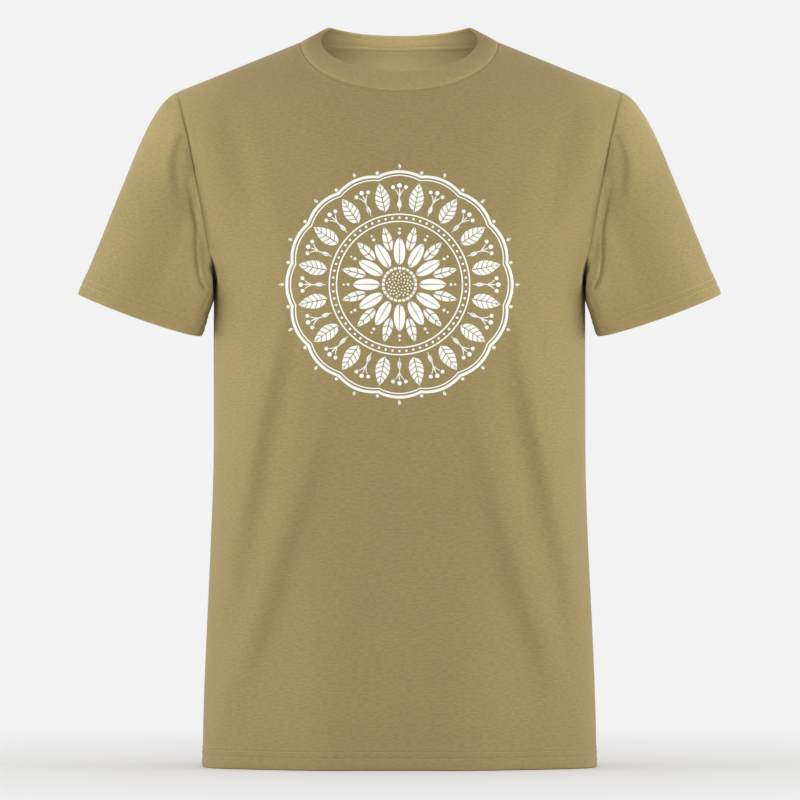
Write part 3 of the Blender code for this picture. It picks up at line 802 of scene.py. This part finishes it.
def neck_tape():
    """Narrow tape over the seam inside the back of the neck, from shoulder to shoulder."""
    turn = np.linspace(0.5 * PI + 0.10, PI, 121)
    S = band_surface([0.0, 0.08, 0.16, 0.24], turn)
    n = normals_of(S)
    n = n * np.where((n * outward(S[0], turn)[None]).sum(-1, keepdims=True) < 0, -1.0, 1.0)
    up = unit(S[2] - S[0])
    t = np.linspace(0.0, 2 * PI, 17)[:-1]
    rise = 0.0014 + 0.0022 * np.sign(np.cos(t)) * np.abs(np.cos(t)) ** 0.45
    depth = 0.0024 + 0.00045 * np.sign(np.sin(t)) * np.abs(np.sin(t)) ** 0.7
    R = (S[0][:, None] + up[:, None] * rise[None, :, None]
         - n[0][:, None] * depth[None, :, None])
    other = R[-2::-1].copy()
    other[..., 0] *= -1.0
    R = np.concatenate([R, other], 0)
    # both ends taper under the shoulder seam
    mid = R.mean(axis=1, keepdims=True)
    ends = [mid[:1] + (R[:1] - mid[:1]) * k for k in (0.02, 0.6)]
    tails = [mid[-1:] + (R[-1:] - mid[-1:]) * k for k in (0.6, 0.02)]
    R = np.concatenate(ends + [R] + tails, 0)
    faces = grid_faces(*R.shape[:2], closed_cols=True)
    m, caps = R.shape[1], []
    for first, way in ((0, 1), ((R.shape[0] - 1) * m, -1)):
        ring = [first + k for k in range(m)][::way]
        caps += [[ring[k], ring[k + 1], ring[m - 2 - k], ring[m - 1 - k]] for k in range(m // 2 - 1)]
    faces = np.concatenate([faces, np.array(caps)[:, ::-1]])
    N0 = normals_of(R, closed_cols=True)
    if (N0[100] * (R[100] - R[100].mean(axis=0))).sum() < 0:
        faces = faces[:, ::-1]
    obj = new_object("neck_tape_strip", R, faces)
    along = run_length(R, 0)
    set_uv(obj, np.stack([along, 0.030 + (t * 0.0009)[None] + 0 * along], -1).reshape(-1, 2))
    return obj


# ------------------------------------------------------------- stitches
def stitch_row(path, normals, pitch, closed=True):
    """Even places along a line: middle, direction and normal of each stitch."""
    if closed:
        path = np.concatenate([path, path[:1]])
        normals = np.concatenate([normals, normals[:1]])
    s = run_length(path[:, None], 0)[:, 0]
    n = max(int(round(s[-1] / pitch)), 2)
    at = (np.arange(n) + 0.5) * s[-1] / n
    mid = np.stack([np.interp(at, s, path[:, k]) for k in range(3)], -1)
    ahead = np.stack([np.interp(np.minimum(at + 0.0004, s[-1]), s, path[:, k]) for k in range(3)], -1)
    back = np.stack([np.interp(np.maximum(at - 0.0004, 0.0), s, path[:, k]) for k in range(3)], -1)
    nn = np.stack([np.interp(at, s, normals[:, k]) for k in range(3)], -1)
    return mid, unit(ahead - back), unit(nn)


def stitches(name, rows, length, radius, lift, lean=0.0):
    """Each stitch is a short arched thread with round ends."""
    mid, along, out = [np.concatenate(p) for p in zip(*rows)]
    side = unit(np.cross(along, out))
    along = unit(along + side * lean)
    side = unit(np.cross(along, out))
    n = len(mid)
    ring = 7
    u = np.array([-0.5, -0.47, -0.36, -0.15, 0.15, 0.36, 0.47, 0.5])
    size = np.array([0.0, 0.55, 0.92, 1.0, 1.0, 0.92, 0.55, 0.0])
    arch = lift * (np.cos(PI * u * 0.96) - 0.45)
    a = 2 * PI * np.arange(ring) / ring
    verts, faces = [], []
    core = mid[:, None] + along[:, None] * (u * length)[None, :, None] + out[:, None] * arch[None, :, None]
    rings = (core[:, 1:-1, None]
             + side[:, None, None] * (radius * size[1:-1, None] * np.cos(a)[None])[None, ..., None]
             + out[:, None, None] * (radius * 0.85 * size[1:-1, None] * np.sin(a)[None])[None, ..., None])
    body = rings.reshape(n, -1, 3)
    V = np.concatenate([body, core[:, :1], core[:, -1:]], 1)
    m = len(u) - 2
    for i in range(m - 1):
        for k in range(ring):
            p, q = i * ring + k, i * ring + (k + 1) % ring
            faces += [[p, q, q + ring], [p, q + ring, p + ring]]
    first, last = m * ring, m * ring + 1
    for k in range(ring):
        faces += [[first, (k + 1) % ring, k],
                  [last, (m - 1) * ring + k, (m - 1) * ring + (k + 1) % ring]]
    F = np.array(faces)[:, ::-1]
    F = (F[None] + (np.arange(n) * V.shape[1])[:, None, None]).reshape(-1, 3)
    # outward faces: compare one face of the first stitch with its own core
    t0 = F[2]
    flat = V.reshape(-1, 3)
    fn = np.cross(flat[t0[1]] - flat[t0[0]], flat[t0[2]] - flat[t0[0]])
    if np.dot(fn, flat[t0].mean(0) - core[0].mean(0)) < 0:
        F = F[:, ::-1]
    return new_object(name, flat, F)


# ------------------------------------------------------------- chest print
PRINT_X, PRINT_Z = 0.0, 0.4733


def patch(u, v, point):
    """Grid over u and v, each point from point(U, V) in the print's plane."""
    U, V = np.meshgrid(u, v, indexing="ij")
    x, y = point(U, V)
    return np.stack([x, y], -1), grid_faces(len(u), len(v))


def turned(shape, angle):
    P, F = shape
    c, s = math.cos(angle), math.sin(angle)
    return np.stack([P[..., 0] * c - P[..., 1] * s, P[..., 0] * s + P[..., 1] * c], -1), F


def steps(length, cell):
    return max(int(round(length / cell)), 2) + 1


def band_arc(r0, r1, a0, a1, wave=None, cell=0.0020):
    """Piece of a ring; wave(a) moves it in and out."""
    def point(A, T):
        r = lerp(r0, r1, T) + (wave(A) if wave else 0.0)
        return r * np.cos(A), r * np.sin(A)
    return patch(np.linspace(a0, a1, steps(abs(a1 - a0) * r1, cell)),
                 np.linspace(0, 1, steps(r1 - r0, cell)), point)


def disc(r, x=0.0, y=0.0):
    k = np.linspace(-1.0, 1.0, 4 if r < 0.0016 else 6)
    return patch(k, k, lambda U, V: (x + r * U * np.sqrt(1 - 0.5 * V * V),
                                     y + r * V * np.sqrt(1 - 0.5 * U * U)))


def blade(r0, r1, half, tip=1.35, base=0.62, vein=0.0, notch=(), bow=0.0, cuts=0, cut_gap=0.0009,
          slant=0.0, inner=0.0):
    """Petal or leaf along +x from r0 to r1, in halves beside a bare vein and in
    pieces between bare side veins."""
    def width(s):
        return half * np.sin(PI * np.clip(s, 0, 1) ** base) ** (1.0 / tip)

    shapes = []
    ends = np.linspace(0.0, 1.0, cuts + 2)
    gap = cut_gap / (r1 - r0)
    for side in (1.0, -1.0):
        for i in range(cuts + 1):
            s0 = ends[i] + (0.5 * gap if i else 0.0)
            s1 = ends[i + 1] - (0.5 * gap if i < cuts else 0.0)

            def point(S, T, s0=s0, s1=s1, i=i):
                lean0 = slant if i else 0.0
                lean1 = slant if i < cuts else 0.0
                s = s0 + lean0 * T + (s1 + lean1 * T - s0 - lean0 * T) * S
                s = np.clip(s, 0.0, 1.0)
                w = width(s)
                low = np.minimum(0.5 * vein * (1.0 - 0.6 * s) + inner * w, w)
                y = side * (low + (w - low) * T)
                x = lerp(r0, r1, s)
                return x, y + bow * (s - 0.5) ** 2 - 0.25 * bow
            shape = patch(np.linspace(0, 1, steps((s1 - s0) * (r1 - r0), 0.0017)),
                          np.linspace(0, 1, steps(half, 0.0019)), point)
            if side < 0:
                shape = (shape[0], shape[1][:, ::-1])
            shapes.append(shape)
    return shapes


def stroke(points, width):
    """Line of even width along a smooth path, with narrowed ends."""
    k = np.array(points, float)
    at = np.linspace(0.0, 1.0, len(k))
    total = np.linalg.norm(np.diff(k, axis=0), axis=-1).sum()
    t = np.linspace(0.0, 1.0, steps(total, 0.0016))
    c = np.stack([curve(t, at, k[:, 0]), curve(t, at, k[:, 1])], -1)
    d = np.gradient(c, axis=0)
    d /= np.maximum(np.linalg.norm(d, axis=-1, keepdims=True), 1e-9)
    n = np.stack([-d[:, 1], d[:, 0]], -1)
    w = 0.5 * width * (0.35 + 0.65 * np.sin(PI * np.clip(t, 0, 1)) ** 0.35)
    P = np.stack([c - n * w[:, None], c, c + n * w[:, None]], 1)
    return P, grid_faces(*P.shape[:2])


def medallion():
    """A flower in a wreath: all shapes in the print's own plane, in metres."""
    out = []

    def ring_of(count, shapes, start=0.0):
        for k in range(count):
            out.extend(turned(sh, start + 2 * PI * k / count) for sh in shapes)

    # seed head
    for k in range(1, 56):
        r, a = 0.00172 * math.sqrt(k), k * PI * (3.0 - math.sqrt(5.0))
        out.append(disc(0.00062 + 0.00004 * math.sqrt(k), r * math.cos(a), r * math.sin(a)))
    ring_of(24, [band_arc(0.0146, 0.0172, -0.102, 0.102)])
    # two rows of petals
    ring_of(12, blade(0.0190, 0.0455, 0.0056, tip=1.9, base=0.92, vein=0.0009, cuts=0))
    ring_of(12, blade(0.0335, 0.0580, 0.0047, tip=1.3, base=0.80, vein=0.0012, cuts=2, slant=0.10),
            PI / 12)
    ring_of(12, [disc(0.0015, 0.0500, 0.0)])
    ring_of(12, [disc(0.0011, 0.0542, 0.0)])
    # beaded band
    out.append(band_arc(0.0606, 0.0620, 0.0, 2 * PI))
    ring_of(60, [disc(0.00125, 0.0648, 0.0)])
    out.append(band_arc(0.0676, 0.0690, 0.0, 2 * PI))
    # wreath of veined leaves with berries on stalks between them
    ring_of(16, blade(0.0715, 0.1005, 0.0071, tip=1.15, base=0.78, vein=0.0010, cuts=5, slant=0.13,
                      cut_gap=0.0008), PI / 16)
    for k in range(16):
        a = 2 * PI * k / 16
        parts = [stroke([(0.0712, 0.0), (0.0800, 0.0004), (0.0885, -0.0002), (0.0935, 0.0)], 0.0011),
                 stroke([(0.0850, 0.0), (0.0900, 0.0022), (0.0925, 0.0046)], 0.0009),
                 stroke([(0.0850, 0.0), (0.0900, -0.0022), (0.0925, -0.0046)], 0.0009),
                 disc(0.0022, 0.0962, 0.0), disc(0.0019, 0.0945, 0.0062), disc(0.0019, 0.0945, -0.0062)]
        parts += blade(0.0735, 0.0835, 0.0019, tip=1.2, base=0.8)
        out.extend(turned(sh, a) for sh in parts)
    # scalloped border of two lines
    scallop = lambda A: 0.0034 * np.abs(np.cos(8.0 * A)) ** 0.8
    out.append(band_arc(0.1022, 0.1034, 0.0, 2 * PI, wave=scallop, cell=0.0014))
    out.append(band_arc(0.1050, 0.1078, 0.0, 2 * PI, wave=scallop, cell=0.0014))
    ring_of(16, [disc(0.0016, 0.1106, 0.0)], PI / 16)
    ring_of(16, blade(0.1124, 0.1175, 0.0016, tip=1.2, base=0.8), 0.0)
    return out


def chest_print():
    verts, faces, count = [], [], 0
    for P, F in medallion():
        verts.append(P.reshape(-1, 2))
        faces.append(F + count)
        count += verts[-1].shape[0]
    flat, faces = np.concatenate(verts), np.concatenate(faces)
    P, N = FRONT["P"], FRONT["N"]
    rows, cols = P.shape[:2]
    quads = grid_faces(rows, cols)
    tree = BVHTree.FromPolygons([tuple(v) for v in P.reshape(-1, 3).tolist()],
                                [tuple(f) for f in quads.tolist()])
    ray = Vector((0.0, 1.0, 0.0))
    out = np.empty((len(flat), 3))
    fn = np.cross(P.reshape(-1, 3)[quads[:, 1]] - P.reshape(-1, 3)[quads[:, 0]],
                  P.reshape(-1, 3)[quads[:, 3]] - P.reshape(-1, 3)[quads[:, 0]])
    fn = unit(fn * np.where(fn[:, 1:2] > 0, -1.0, 1.0))
    for i, (x, y) in enumerate(flat):
        hit, _, face, _ = tree.ray_cast(Vector((PRINT_X + x, -1.0, PRINT_Z + y)), ray)
        out[i] = np.array(hit) + fn[face] * INK_LIFT
    # faces look out of the chest
    f0 = np.cross(out[faces[:, 1]] - out[faces[:, 0]], out[faces[:, 2]] - out[faces[:, 0]])
    faces = np.where((f0[:, 1] > 0)[:, None], faces[:, ::-1], faces)
    obj = new_object("chest_print", out, faces)
    set_uv(obj, flat + np.array([PRINT_X, PRINT_Z]))
    mod = solidify(obj, INK, 0)
    mod.offset = -1.0
    return obj


INK, INK_LIFT = 0.00022, 0.00024


# ------------------------------------------------------------- materials
def material(name, build):
    mat = bpy.data.materials.new(name)
    mat.use_nodes = True
    nt = mat.node_tree
    nt.nodes.clear()
    out = nt.nodes.new("ShaderNodeOutputMaterial")
    shader = nt.nodes.new("ShaderNodeBsdfPrincipled")
    nt.links.new(shader.outputs[0], out.inputs[0])
    build(nt, shader)
    return mat


def math_node(nt, op, a, b=None, clamp=False):
    n = nt.nodes.new("ShaderNodeMath")
    n.operation = op
    n.use_clamp = clamp
    for i, v in enumerate((a, b)):
        if v is None:
            continue
        if isinstance(v, (int, float)):
            n.inputs[i].default_value = v
        else:
            nt.links.new(v, n.inputs[i])
    return n.outputs[0]


def mapped(nt, scale, kind="UV", offset=(0, 0, 0)):
    src = nt.nodes.new("ShaderNodeUVMap") if kind == "UV" else nt.nodes.new("ShaderNodeTexCoord")
    if kind == "UV":
        src.uv_map = "Cloth"
    m = nt.nodes.new("ShaderNodeMapping")
    m.inputs["Scale"].default_value = scale
    m.inputs["Location"].default_value = offset
    nt.links.new(src.outputs["UV"] if kind == "UV" else src.outputs["Object"], m.inputs["Vector"])
    return m.outputs[0]


def noise(nt, vector, scale, detail=2.0, rough=0.5):
    n = nt.nodes.new("ShaderNodeTexNoise")
    n.inputs["Scale"].default_value = scale
    n.inputs["Detail"].default_value = detail
    n.inputs["Roughness"].default_value = rough
    nt.links.new(vector, n.inputs["Vector"])
    return n.outputs["Fac"]


def jersey(name, colour, streaks=1.0, sheen=0.10, rib=0.0):
    """Cotton jersey: wales and courses in relief, yarn slubs along the courses."""
    def build(nt, shader):
        shader.inputs["Roughness"].default_value = 0.92
        shader.inputs["Specular IOR Level"].default_value = 0.18
        shader.inputs["Sheen Weight"].default_value = sheen
        shader.inputs["Sheen Roughness"].default_value = 0.45
        shader.inputs["Sheen Tint"].default_value = (1.0, 0.93, 0.74, 1.0)
        # yarn colour: long thin slubs across, soft mottling, light flecks
        slub = noise(nt, mapped(nt, (170.0, 560.0, 1.0)), 1.0, 1.0, 0.5)
        fine = noise(nt, mapped(nt, (700.0, 1300.0, 1.0), offset=(3.1, 7.7, 0)), 1.0, 1.0, 0.5)
        cloud = noise(nt, mapped(nt, (22.0, 34.0, 1.0), offset=(9.2, 1.3, 0)), 1.0, 2.0, 0.5)
        mix = math_node(nt, "ADD",
                        math_node(nt, "MULTIPLY", math_node(nt, "SUBTRACT", slub, 0.5), 0.70 * streaks),
                        math_node(nt, "ADD",
                                  math_node(nt, "MULTIPLY", math_node(nt, "SUBTRACT", fine, 0.5), 0.50 * streaks),
                                  math_node(nt, "MULTIPLY", math_node(nt, "SUBTRACT", cloud, 0.5), 0.10)))
        factor = math_node(nt, "ADD", mix, 0.5, clamp=True)
        ramp = nt.nodes.new("ShaderNodeValToRGB")
        dark = [c * 0.70 for c in colour]
        light = [min(c * 1.30, 1.0) for c in colour]
        ramp.color_ramp.elements[0].color = (*dark, 1)
        ramp.color_ramp.elements[1].color = (*light, 1)
        ramp.color_ramp.elements[0].position = 0.0
        ramp.color_ramp.elements[1].position = 1.0
        nt.links.new(factor, ramp.inputs[0])
        nt.links.new(ramp.outputs[0], shader.inputs["Base Color"])
        # knit relief: upright wales 0.9 mm apart, courses 0.7 mm apart
        uv = nt.nodes.new("ShaderNodeUVMap")
        uv.uv_map = "Cloth"
        sep = nt.nodes.new("ShaderNodeSeparateXYZ")
        nt.links.new(uv.outputs[0], sep.inputs[0])
        wale = math_node(nt, "SINE", math_node(nt, "MULTIPLY", sep.outputs[0], 2 * PI / 0.00092))
        lean = math_node(nt, "ABSOLUTE", wale)
        course = math_node(nt, "SINE", math_node(
            nt, "ADD", math_node(nt, "MULTIPLY", sep.outputs[1], 2 * PI / 0.00072),
            math_node(nt, "MULTIPLY", lean, 2.2)))
        relief = math_node(nt, "ADD", math_node(nt, "MULTIPLY", wale, 0.35),
                           math_node(nt, "ADD", math_node(nt, "MULTIPLY", course, 0.30),
                                     math_node(nt, "MULTIPLY", slub, 1.4)))
        # the rows of stitches along an edge pucker the cloth between them
        above = nt.nodes.new("ShaderNodeMapRange")
        above.interpolation_type = "SMOOTHSTEP"
        above.inputs["From Min"].default_value = STITCH_LOW - 0.0022
        above.inputs["From Max"].default_value = STITCH_LOW + 0.0006
        nt.links.new(sep.outputs[1], above.inputs["Value"])
        below = nt.nodes.new("ShaderNodeMapRange")
        below.interpolation_type = "SMOOTHSTEP"
        below.inputs["From Min"].default_value = STITCH_HIGH + 0.0022
        below.inputs["From Max"].default_value = STITCH_HIGH - 0.0006
        nt.links.new(sep.outputs[1], below.inputs["Value"])
        pitch = math_node(nt, "SINE", math_node(nt, "MULTIPLY", sep.outputs[0], 2 * PI / 0.0027))
        pucker = math_node(nt, "MULTIPLY", math_node(nt, "MULTIPLY", above.outputs[0], below.outputs[0]),
                           math_node(nt, "MULTIPLY", pitch, 3.2))
        relief = math_node(nt, "ADD", relief, pucker)
        bump = nt.nodes.new("ShaderNodeBump")
        bump.inputs["Strength"].default_value = 0.35
        bump.inputs["Distance"].default_value = 0.00010
        nt.links.new(relief, bump.inputs["Height"])
        nt.links.new(bump.outputs[0], shader.inputs["Normal"])
    return material(name, build)


KHAKI = (0.299, 0.230, 0.100)
# lighter copy of the jersey for the inner faces: partly the reverse side's own paler tone, partly painted light
# for the brightly lit inside of the back of the neck
KHAKI_REVERSE_PAINTED_LIGHT = (0.330, 0.255, 0.118)
M_JERSEY = jersey("khaki_jersey", KHAKI)
M_JERSEY_REVERSE_PAINTED_LIGHT = jersey("khaki_jersey_reverse_painted_light", KHAKI_REVERSE_PAINTED_LIGHT, streaks=0.8)
# the rib is lighter than the body jersey: partly the rib knit's own tone, partly painted light for the band
# facing up into more light
M_RIB = jersey("khaki_rib", (0.368, 0.286, 0.128), streaks=0.8)


def thread(name, colour):
    def build(nt, shader):
        shader.inputs["Roughness"].default_value = 0.62
        shader.inputs["Specular IOR Level"].default_value = 0.35
        shader.inputs["Sheen Weight"].default_value = 0.15
        tone = noise(nt, mapped(nt, (900.0, 900.0, 900.0), kind="OBJECT"), 1.0, 2.0, 0.6)
        ramp = nt.nodes.new("ShaderNodeValToRGB")
        ramp.color_ramp.elements[0].color = (*[c * 0.80 for c in colour], 1)
        ramp.color_ramp.elements[1].color = (*[c * 1.18 for c in colour], 1)
        ramp.color_ramp.elements[0].position = 0.3
        ramp.color_ramp.elements[1].position = 0.7
        nt.links.new(tone, ramp.inputs[0])
        nt.links.new(ramp.outputs[0], shader.inputs["Base Color"])
    return material(name, build)


def ink(name, colour):
    """Screen-print ink: matt, a little uneven, with the knit showing through it."""
    def build(nt, shader):
        shader.inputs["Roughness"].default_value = 0.68
        shader.inputs["Specular IOR Level"].default_value = 0.25
        fine = noise(nt, mapped(nt, (900.0, 1500.0, 1.0)), 1.0, 2.0, 0.6)
        cloud = noise(nt, mapped(nt, (40.0, 60.0, 1.0), offset=(4.0, 2.0, 0.0)), 1.0, 2.0, 0.5)
        tone = math_node(nt, "ADD", math_node(nt, "MULTIPLY", fine, 0.6),
                         math_node(nt, "MULTIPLY", cloud, 0.4))
        ramp = nt.nodes.new("ShaderNodeValToRGB")
        ramp.color_ramp.elements[0].color = (*[c * 0.93 for c in colour], 1)
        ramp.color_ramp.elements[1].color = (*colour, 1)
        ramp.color_ramp.elements[0].position = 0.28
        ramp.color_ramp.elements[1].position = 0.50
        nt.links.new(tone, ramp.inputs[0])
        nt.links.new(ramp.outputs[0], shader.inputs["Base Color"])
        uv = nt.nodes.new("ShaderNodeUVMap")
        uv.uv_map = "Cloth"
        sep = nt.nodes.new("ShaderNodeSeparateXYZ")
        nt.links.new(uv.outputs[0], sep.inputs[0])
        wale = math_node(nt, "SINE", math_node(nt, "MULTIPLY", sep.outputs[0], 2 * PI / 0.00092))
        bump = nt.nodes.new("ShaderNodeBump")
        bump.inputs["Strength"].default_value = 0.25
        bump.inputs["Distance"].default_value = 0.00006
        nt.links.new(math_node(nt, "ADD", wale, math_node(nt, "MULTIPLY", fine, 2.0)),
                     bump.inputs["Height"])
        nt.links.new(bump.outputs[0], shader.inputs["Normal"])
    return material(name, build)


M_TAPE = jersey("khaki_tape", (0.340, 0.264, 0.120), streaks=0.7)
M_THREAD = thread("khaki_thread", (0.400, 0.318, 0.150))
M_INK = ink("white_ink", (0.930, 0.915, 0.860))


def dress(obj, mats, nodes=()):
    for m in mats:
        obj.data.materials.append(m)
    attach(obj, "root")
    if nodes:
        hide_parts(*nodes)
    return obj


# ------------------------------------------------------------- assembly
FRONT = body_panel("front_panel", -1, FRONT_FOLDS)
BACK = body_panel("back_panel", 1, BACK_FOLDS)
join_panels(FRONT, BACK)
LEFT = sleeve("sleeve_panel_left", 1.0, FRONT, BACK)
RIGHT = sleeve("sleeve_panel_right", -1.0, FRONT, BACK)
front, back, left, right = [finish_panel(p) for p in (FRONT, BACK, LEFT, RIGHT)]
band, S_BAND, N_BAND = neckband()
for obj in (front, back, left, right):
    solidify(obj, CLOTH, inner_slot=1)
dress(front, [M_JERSEY, M_JERSEY_REVERSE_PAINTED_LIGHT], ["body_front"])
dress(back, [M_JERSEY, M_JERSEY_REVERSE_PAINTED_LIGHT], ["body_back"])
dress(left, [M_JERSEY, M_JERSEY_REVERSE_PAINTED_LIGHT], ["sleeve_left"])
dress(right, [M_JERSEY, M_JERSEY_REVERSE_PAINTED_LIGHT], ["sleeve_right"])
dress(band, [M_RIB], ["neckband"])

tape = neck_tape()
dress(tape, [M_TAPE], ["neck_tape"])

hem_P, hem_N, hem_D = body_ring()
hem = turned_edge("hem_turn_up", hem_P, hem_N, hem_D)
solidify(hem, 0.0007)
dress(hem, [M_JERSEY_REVERSE_PAINTED_LIGHT], ["hem_fold"])
rows = [stitch_row(*along_line(hem_P, hem_N, hem_D, d, True), 0.0027)
        for d in (STITCH_LOW, STITCH_HIGH)]
hem_seam = stitches("hem_stitches", rows, 0.0022, 0.00026, 0.00022)
dress(hem_seam, [M_THREAD])

for part, tag in ((LEFT, "left"), (RIGHT, "right")):
    k = 34
    cuff_args = (part["P"][-k:], part["N"][-k:], part["d_cuff"][-k:])
    turn = turned_edge("cuff_turn_up_" + tag, *cuff_args)
    solidify(turn, 0.0007)
    dress(turn, [M_JERSEY_REVERSE_PAINTED_LIGHT], ["cuff_fold_" + tag])
    rows = [stitch_row(*along_line(*cuff_args, d, True), 0.0027) for d in (STITCH_LOW, STITCH_HIGH)]
    sewn = stitches("cuff_stitches_" + tag, rows, 0.0022, 0.00026, 0.00022)
    dress(sewn, [M_THREAD])

design = chest_print()
dress(design, [M_INK])


# ------------------------------------------------------------- room and light
def stage():
    """Pale floor that runs out into a pale room of the same tone."""
    rings = [0.0, 0.3, 0.6, 1.0, 1.6, 2.5, 4.0, 8.0, 20.0]
    verts, faces = [(0.0, 0.0, -0.0004)], []
    n = 96
    for r in rings[1:]:
        verts += [(r * math.cos(2 * PI * k / n), r * math.sin(2 * PI * k / n), -0.0004)
                  for k in range(n)]
    mesh = bpy.data.meshes.new("floor")
    for k in range(n):
        faces.append((0, 1 + k, 1 + (k + 1) % n))
    for i in range(len(rings) - 2):
        for k in range(n):
            a, b = 1 + i * n + k, 1 + i * n + (k + 1) % n
            faces.append((a, a + n, b + n, b))
    mesh.from_pydata(verts, [], faces)
    floor = bpy.data.objects.new("floor", mesh)
    bpy.context.scene.collection.objects.link(floor)
    mat = bpy.data.materials.new("pale_floor")
    mat.use_nodes = True
    nt = mat.node_tree
    nt.nodes.clear()
    out = nt.nodes.new("ShaderNodeOutputMaterial")
    diff = nt.nodes.new("ShaderNodeBsdfDiffuse")
    diff.inputs["Color"].default_value = (FLOOR_ALBEDO, FLOOR_ALBEDO, FLOOR_ALBEDO, 1)
    emit = nt.nodes.new("ShaderNodeEmission")
    emit.inputs["Color"].default_value = (ROOM, ROOM, ROOM, 1)
    emit.inputs["Strength"].default_value = 1.0
    geo = nt.nodes.new("ShaderNodeNewGeometry")
    length = nt.nodes.new("ShaderNodeVectorMath")
    length.operation = "LENGTH"
    nt.links.new(geo.outputs["Position"], length.inputs[0])
    ramp = nt.nodes.new("ShaderNodeMapRange")
    ramp.interpolation_type = "SMOOTHSTEP"
    ramp.inputs["From Min"].default_value = 0.45
    ramp.inputs["From Max"].default_value = 1.30
    nt.links.new(length.outputs["Value"], ramp.inputs["Value"])
    mix = nt.nodes.new("ShaderNodeMixShader")
    nt.links.new(ramp.outputs[0], mix.inputs[0])
    nt.links.new(diff.outputs[0], mix.inputs[1])
    nt.links.new(emit.outputs[0], mix.inputs[2])
    nt.links.new(mix.outputs[0], out.inputs[0])
    floor.data.materials.append(mat)
    world = bpy.data.worlds.new("room")
    bpy.context.scene.world = world
    world.use_nodes = True
    # a little less light comes from overhead than from around
    nt = world.node_tree
    bg = nt.nodes["Background"]
    bg.inputs[0].default_value = (1.0, 1.0, 1.0, 1.0)
    where = nt.nodes.new("ShaderNodeTexCoord")
    split = nt.nodes.new("ShaderNodeSeparateXYZ")
    nt.links.new(where.outputs["Generated"], split.inputs[0])
    fade = nt.nodes.new("ShaderNodeMapRange")
    fade.inputs["From Min"].default_value = 0.0
    fade.inputs["From Max"].default_value = 1.0
    fade.inputs["To Min"].default_value = AMBIENT * 1.12
    fade.inputs["To Max"].default_value = AMBIENT * 0.54
    nt.links.new(split.outputs[2], fade.inputs["Value"])
    nt.links.new(fade.outputs[0], bg.inputs[1])
    # a far round backdrop of the same tone, which only the camera sees
    verts, faces = [], []
    rows = 12
    for i in range(rows + 1):
        up = -0.03 + (0.5 * PI + 0.03) * i / rows
        verts += [(30 * math.cos(up) * math.cos(2 * PI * k / n),
                   30 * math.cos(up) * math.sin(2 * PI * k / n), 30 * math.sin(up))
                  for k in range(n)]
    for i in range(rows):
        for k in range(n):
            a, b = i * n + k, i * n + (k + 1) % n
            faces.append((a, b, b + n, a + n))
    mesh = bpy.data.meshes.new("backdrop")
    mesh.from_pydata(verts, [], faces)
    dome = bpy.data.objects.new("backdrop", mesh)
    bpy.context.scene.collection.objects.link(dome)
    mat = bpy.data.materials.new("pale_backdrop")
    mat.use_nodes = True
    nt = mat.node_tree
    nt.nodes.clear()
    out = nt.nodes.new("ShaderNodeOutputMaterial")
    emit = nt.nodes.new("ShaderNodeEmission")
    emit.inputs["Color"].default_value = (ROOM, ROOM, ROOM, 1)
    nt.links.new(emit.outputs[0], out.inputs[0])
    mat.cycles.emission_sampling = "NONE"
    dome.data.materials.append(mat)
    for ray in ("diffuse", "glossy", "transmission", "volume_scatter", "shadow"):
        setattr(dome, "visible_" + ray, False)


def area_light(name, place, aim, size, watts, tint=(1, 1, 1)):
    data = bpy.data.lights.new(name, "AREA")
    data.shape = "RECTANGLE"
    data.size, data.size_y = size
    data.energy = watts
    data.color = tint
    lamp = bpy.data.objects.new(name, data)
    lamp.location = place
    lamp.rotation_euler = (Vector(aim) - Vector(place)).to_track_quat("-Z", "Y").to_euler()
    bpy.context.scene.collection.objects.link(lamp)
    lamp.visible_camera = False
    return lamp


ROOM = 0.888
FLOOR_ALBEDO = 0.88
AMBIENT = 1.165
stage()
SIDE, COOL = 42.0, (0.985, 1.0, 1.075)
area_light("softbox_left", (-3.0, -0.35, 0.30), (0, 0, 0.34), (1.6, 1.8), SIDE, COOL)
area_light("softbox_right", (3.0, -0.35, 0.30), (0, 0, 0.34), (1.6, 1.8), SIDE, COOL)
# narrow fills from the front, on the sleeves with the armpits and on the sleeve caps
for sign in (-1.0, 1.0):
    fill = area_light("sleeve_fill_left" if sign < 0 else "sleeve_fill_right",
                      (1.25 * sign, -1.35, 0.22), (0.270 * sign, 0.0, 0.435), (0.35, 0.35), 0.16)
    fill.data.spread = math.radians(19.0)
    cap = area_light("cap_fill_left" if sign < 0 else "cap_fill_right",
                     (1.05 * sign, -1.10, 1.25), (0.262 * sign, -0.02, 0.668), (0.12, 0.12), 0.024)
    cap.data.spread = math.radians(5.0)
# a small lamp in the neck opening lights the back of the neck inside
glow = area_light("neck_lamp", (0.0, -0.050, 0.700), (0.0, 0.060, 0.663), (0.10, 0.010), 0.091)
glow.data.spread = math.radians(96.0)
# a low fill from the front, on the lower body
low = area_light("low_fill", (0.0, -2.0, 0.06), (0.0, -0.11, 0.03), (1.6, 0.2), 0.18)
low.data.spread = math.radians(15.0)

cam_data = bpy.data.cameras.new("camera")
cam_data.sensor_width = 36.0
cam_data.lens = 36.0 * 10.0 / 0.788
cam_data.clip_end = 200.0
camera = bpy.data.objects.new("camera", cam_data)
camera.location = (0.0005, -10.0, 0.3608)
camera.rotation_euler = (0.5 * PI, 0.0, 0.0)
bpy.context.scene.collection.objects.link(camera)
bpy.context.scene.camera = camera
bpy.context.scene.view_settings.view_transform = "Standard"
bpy.context.scene.view_settings.look = "None"
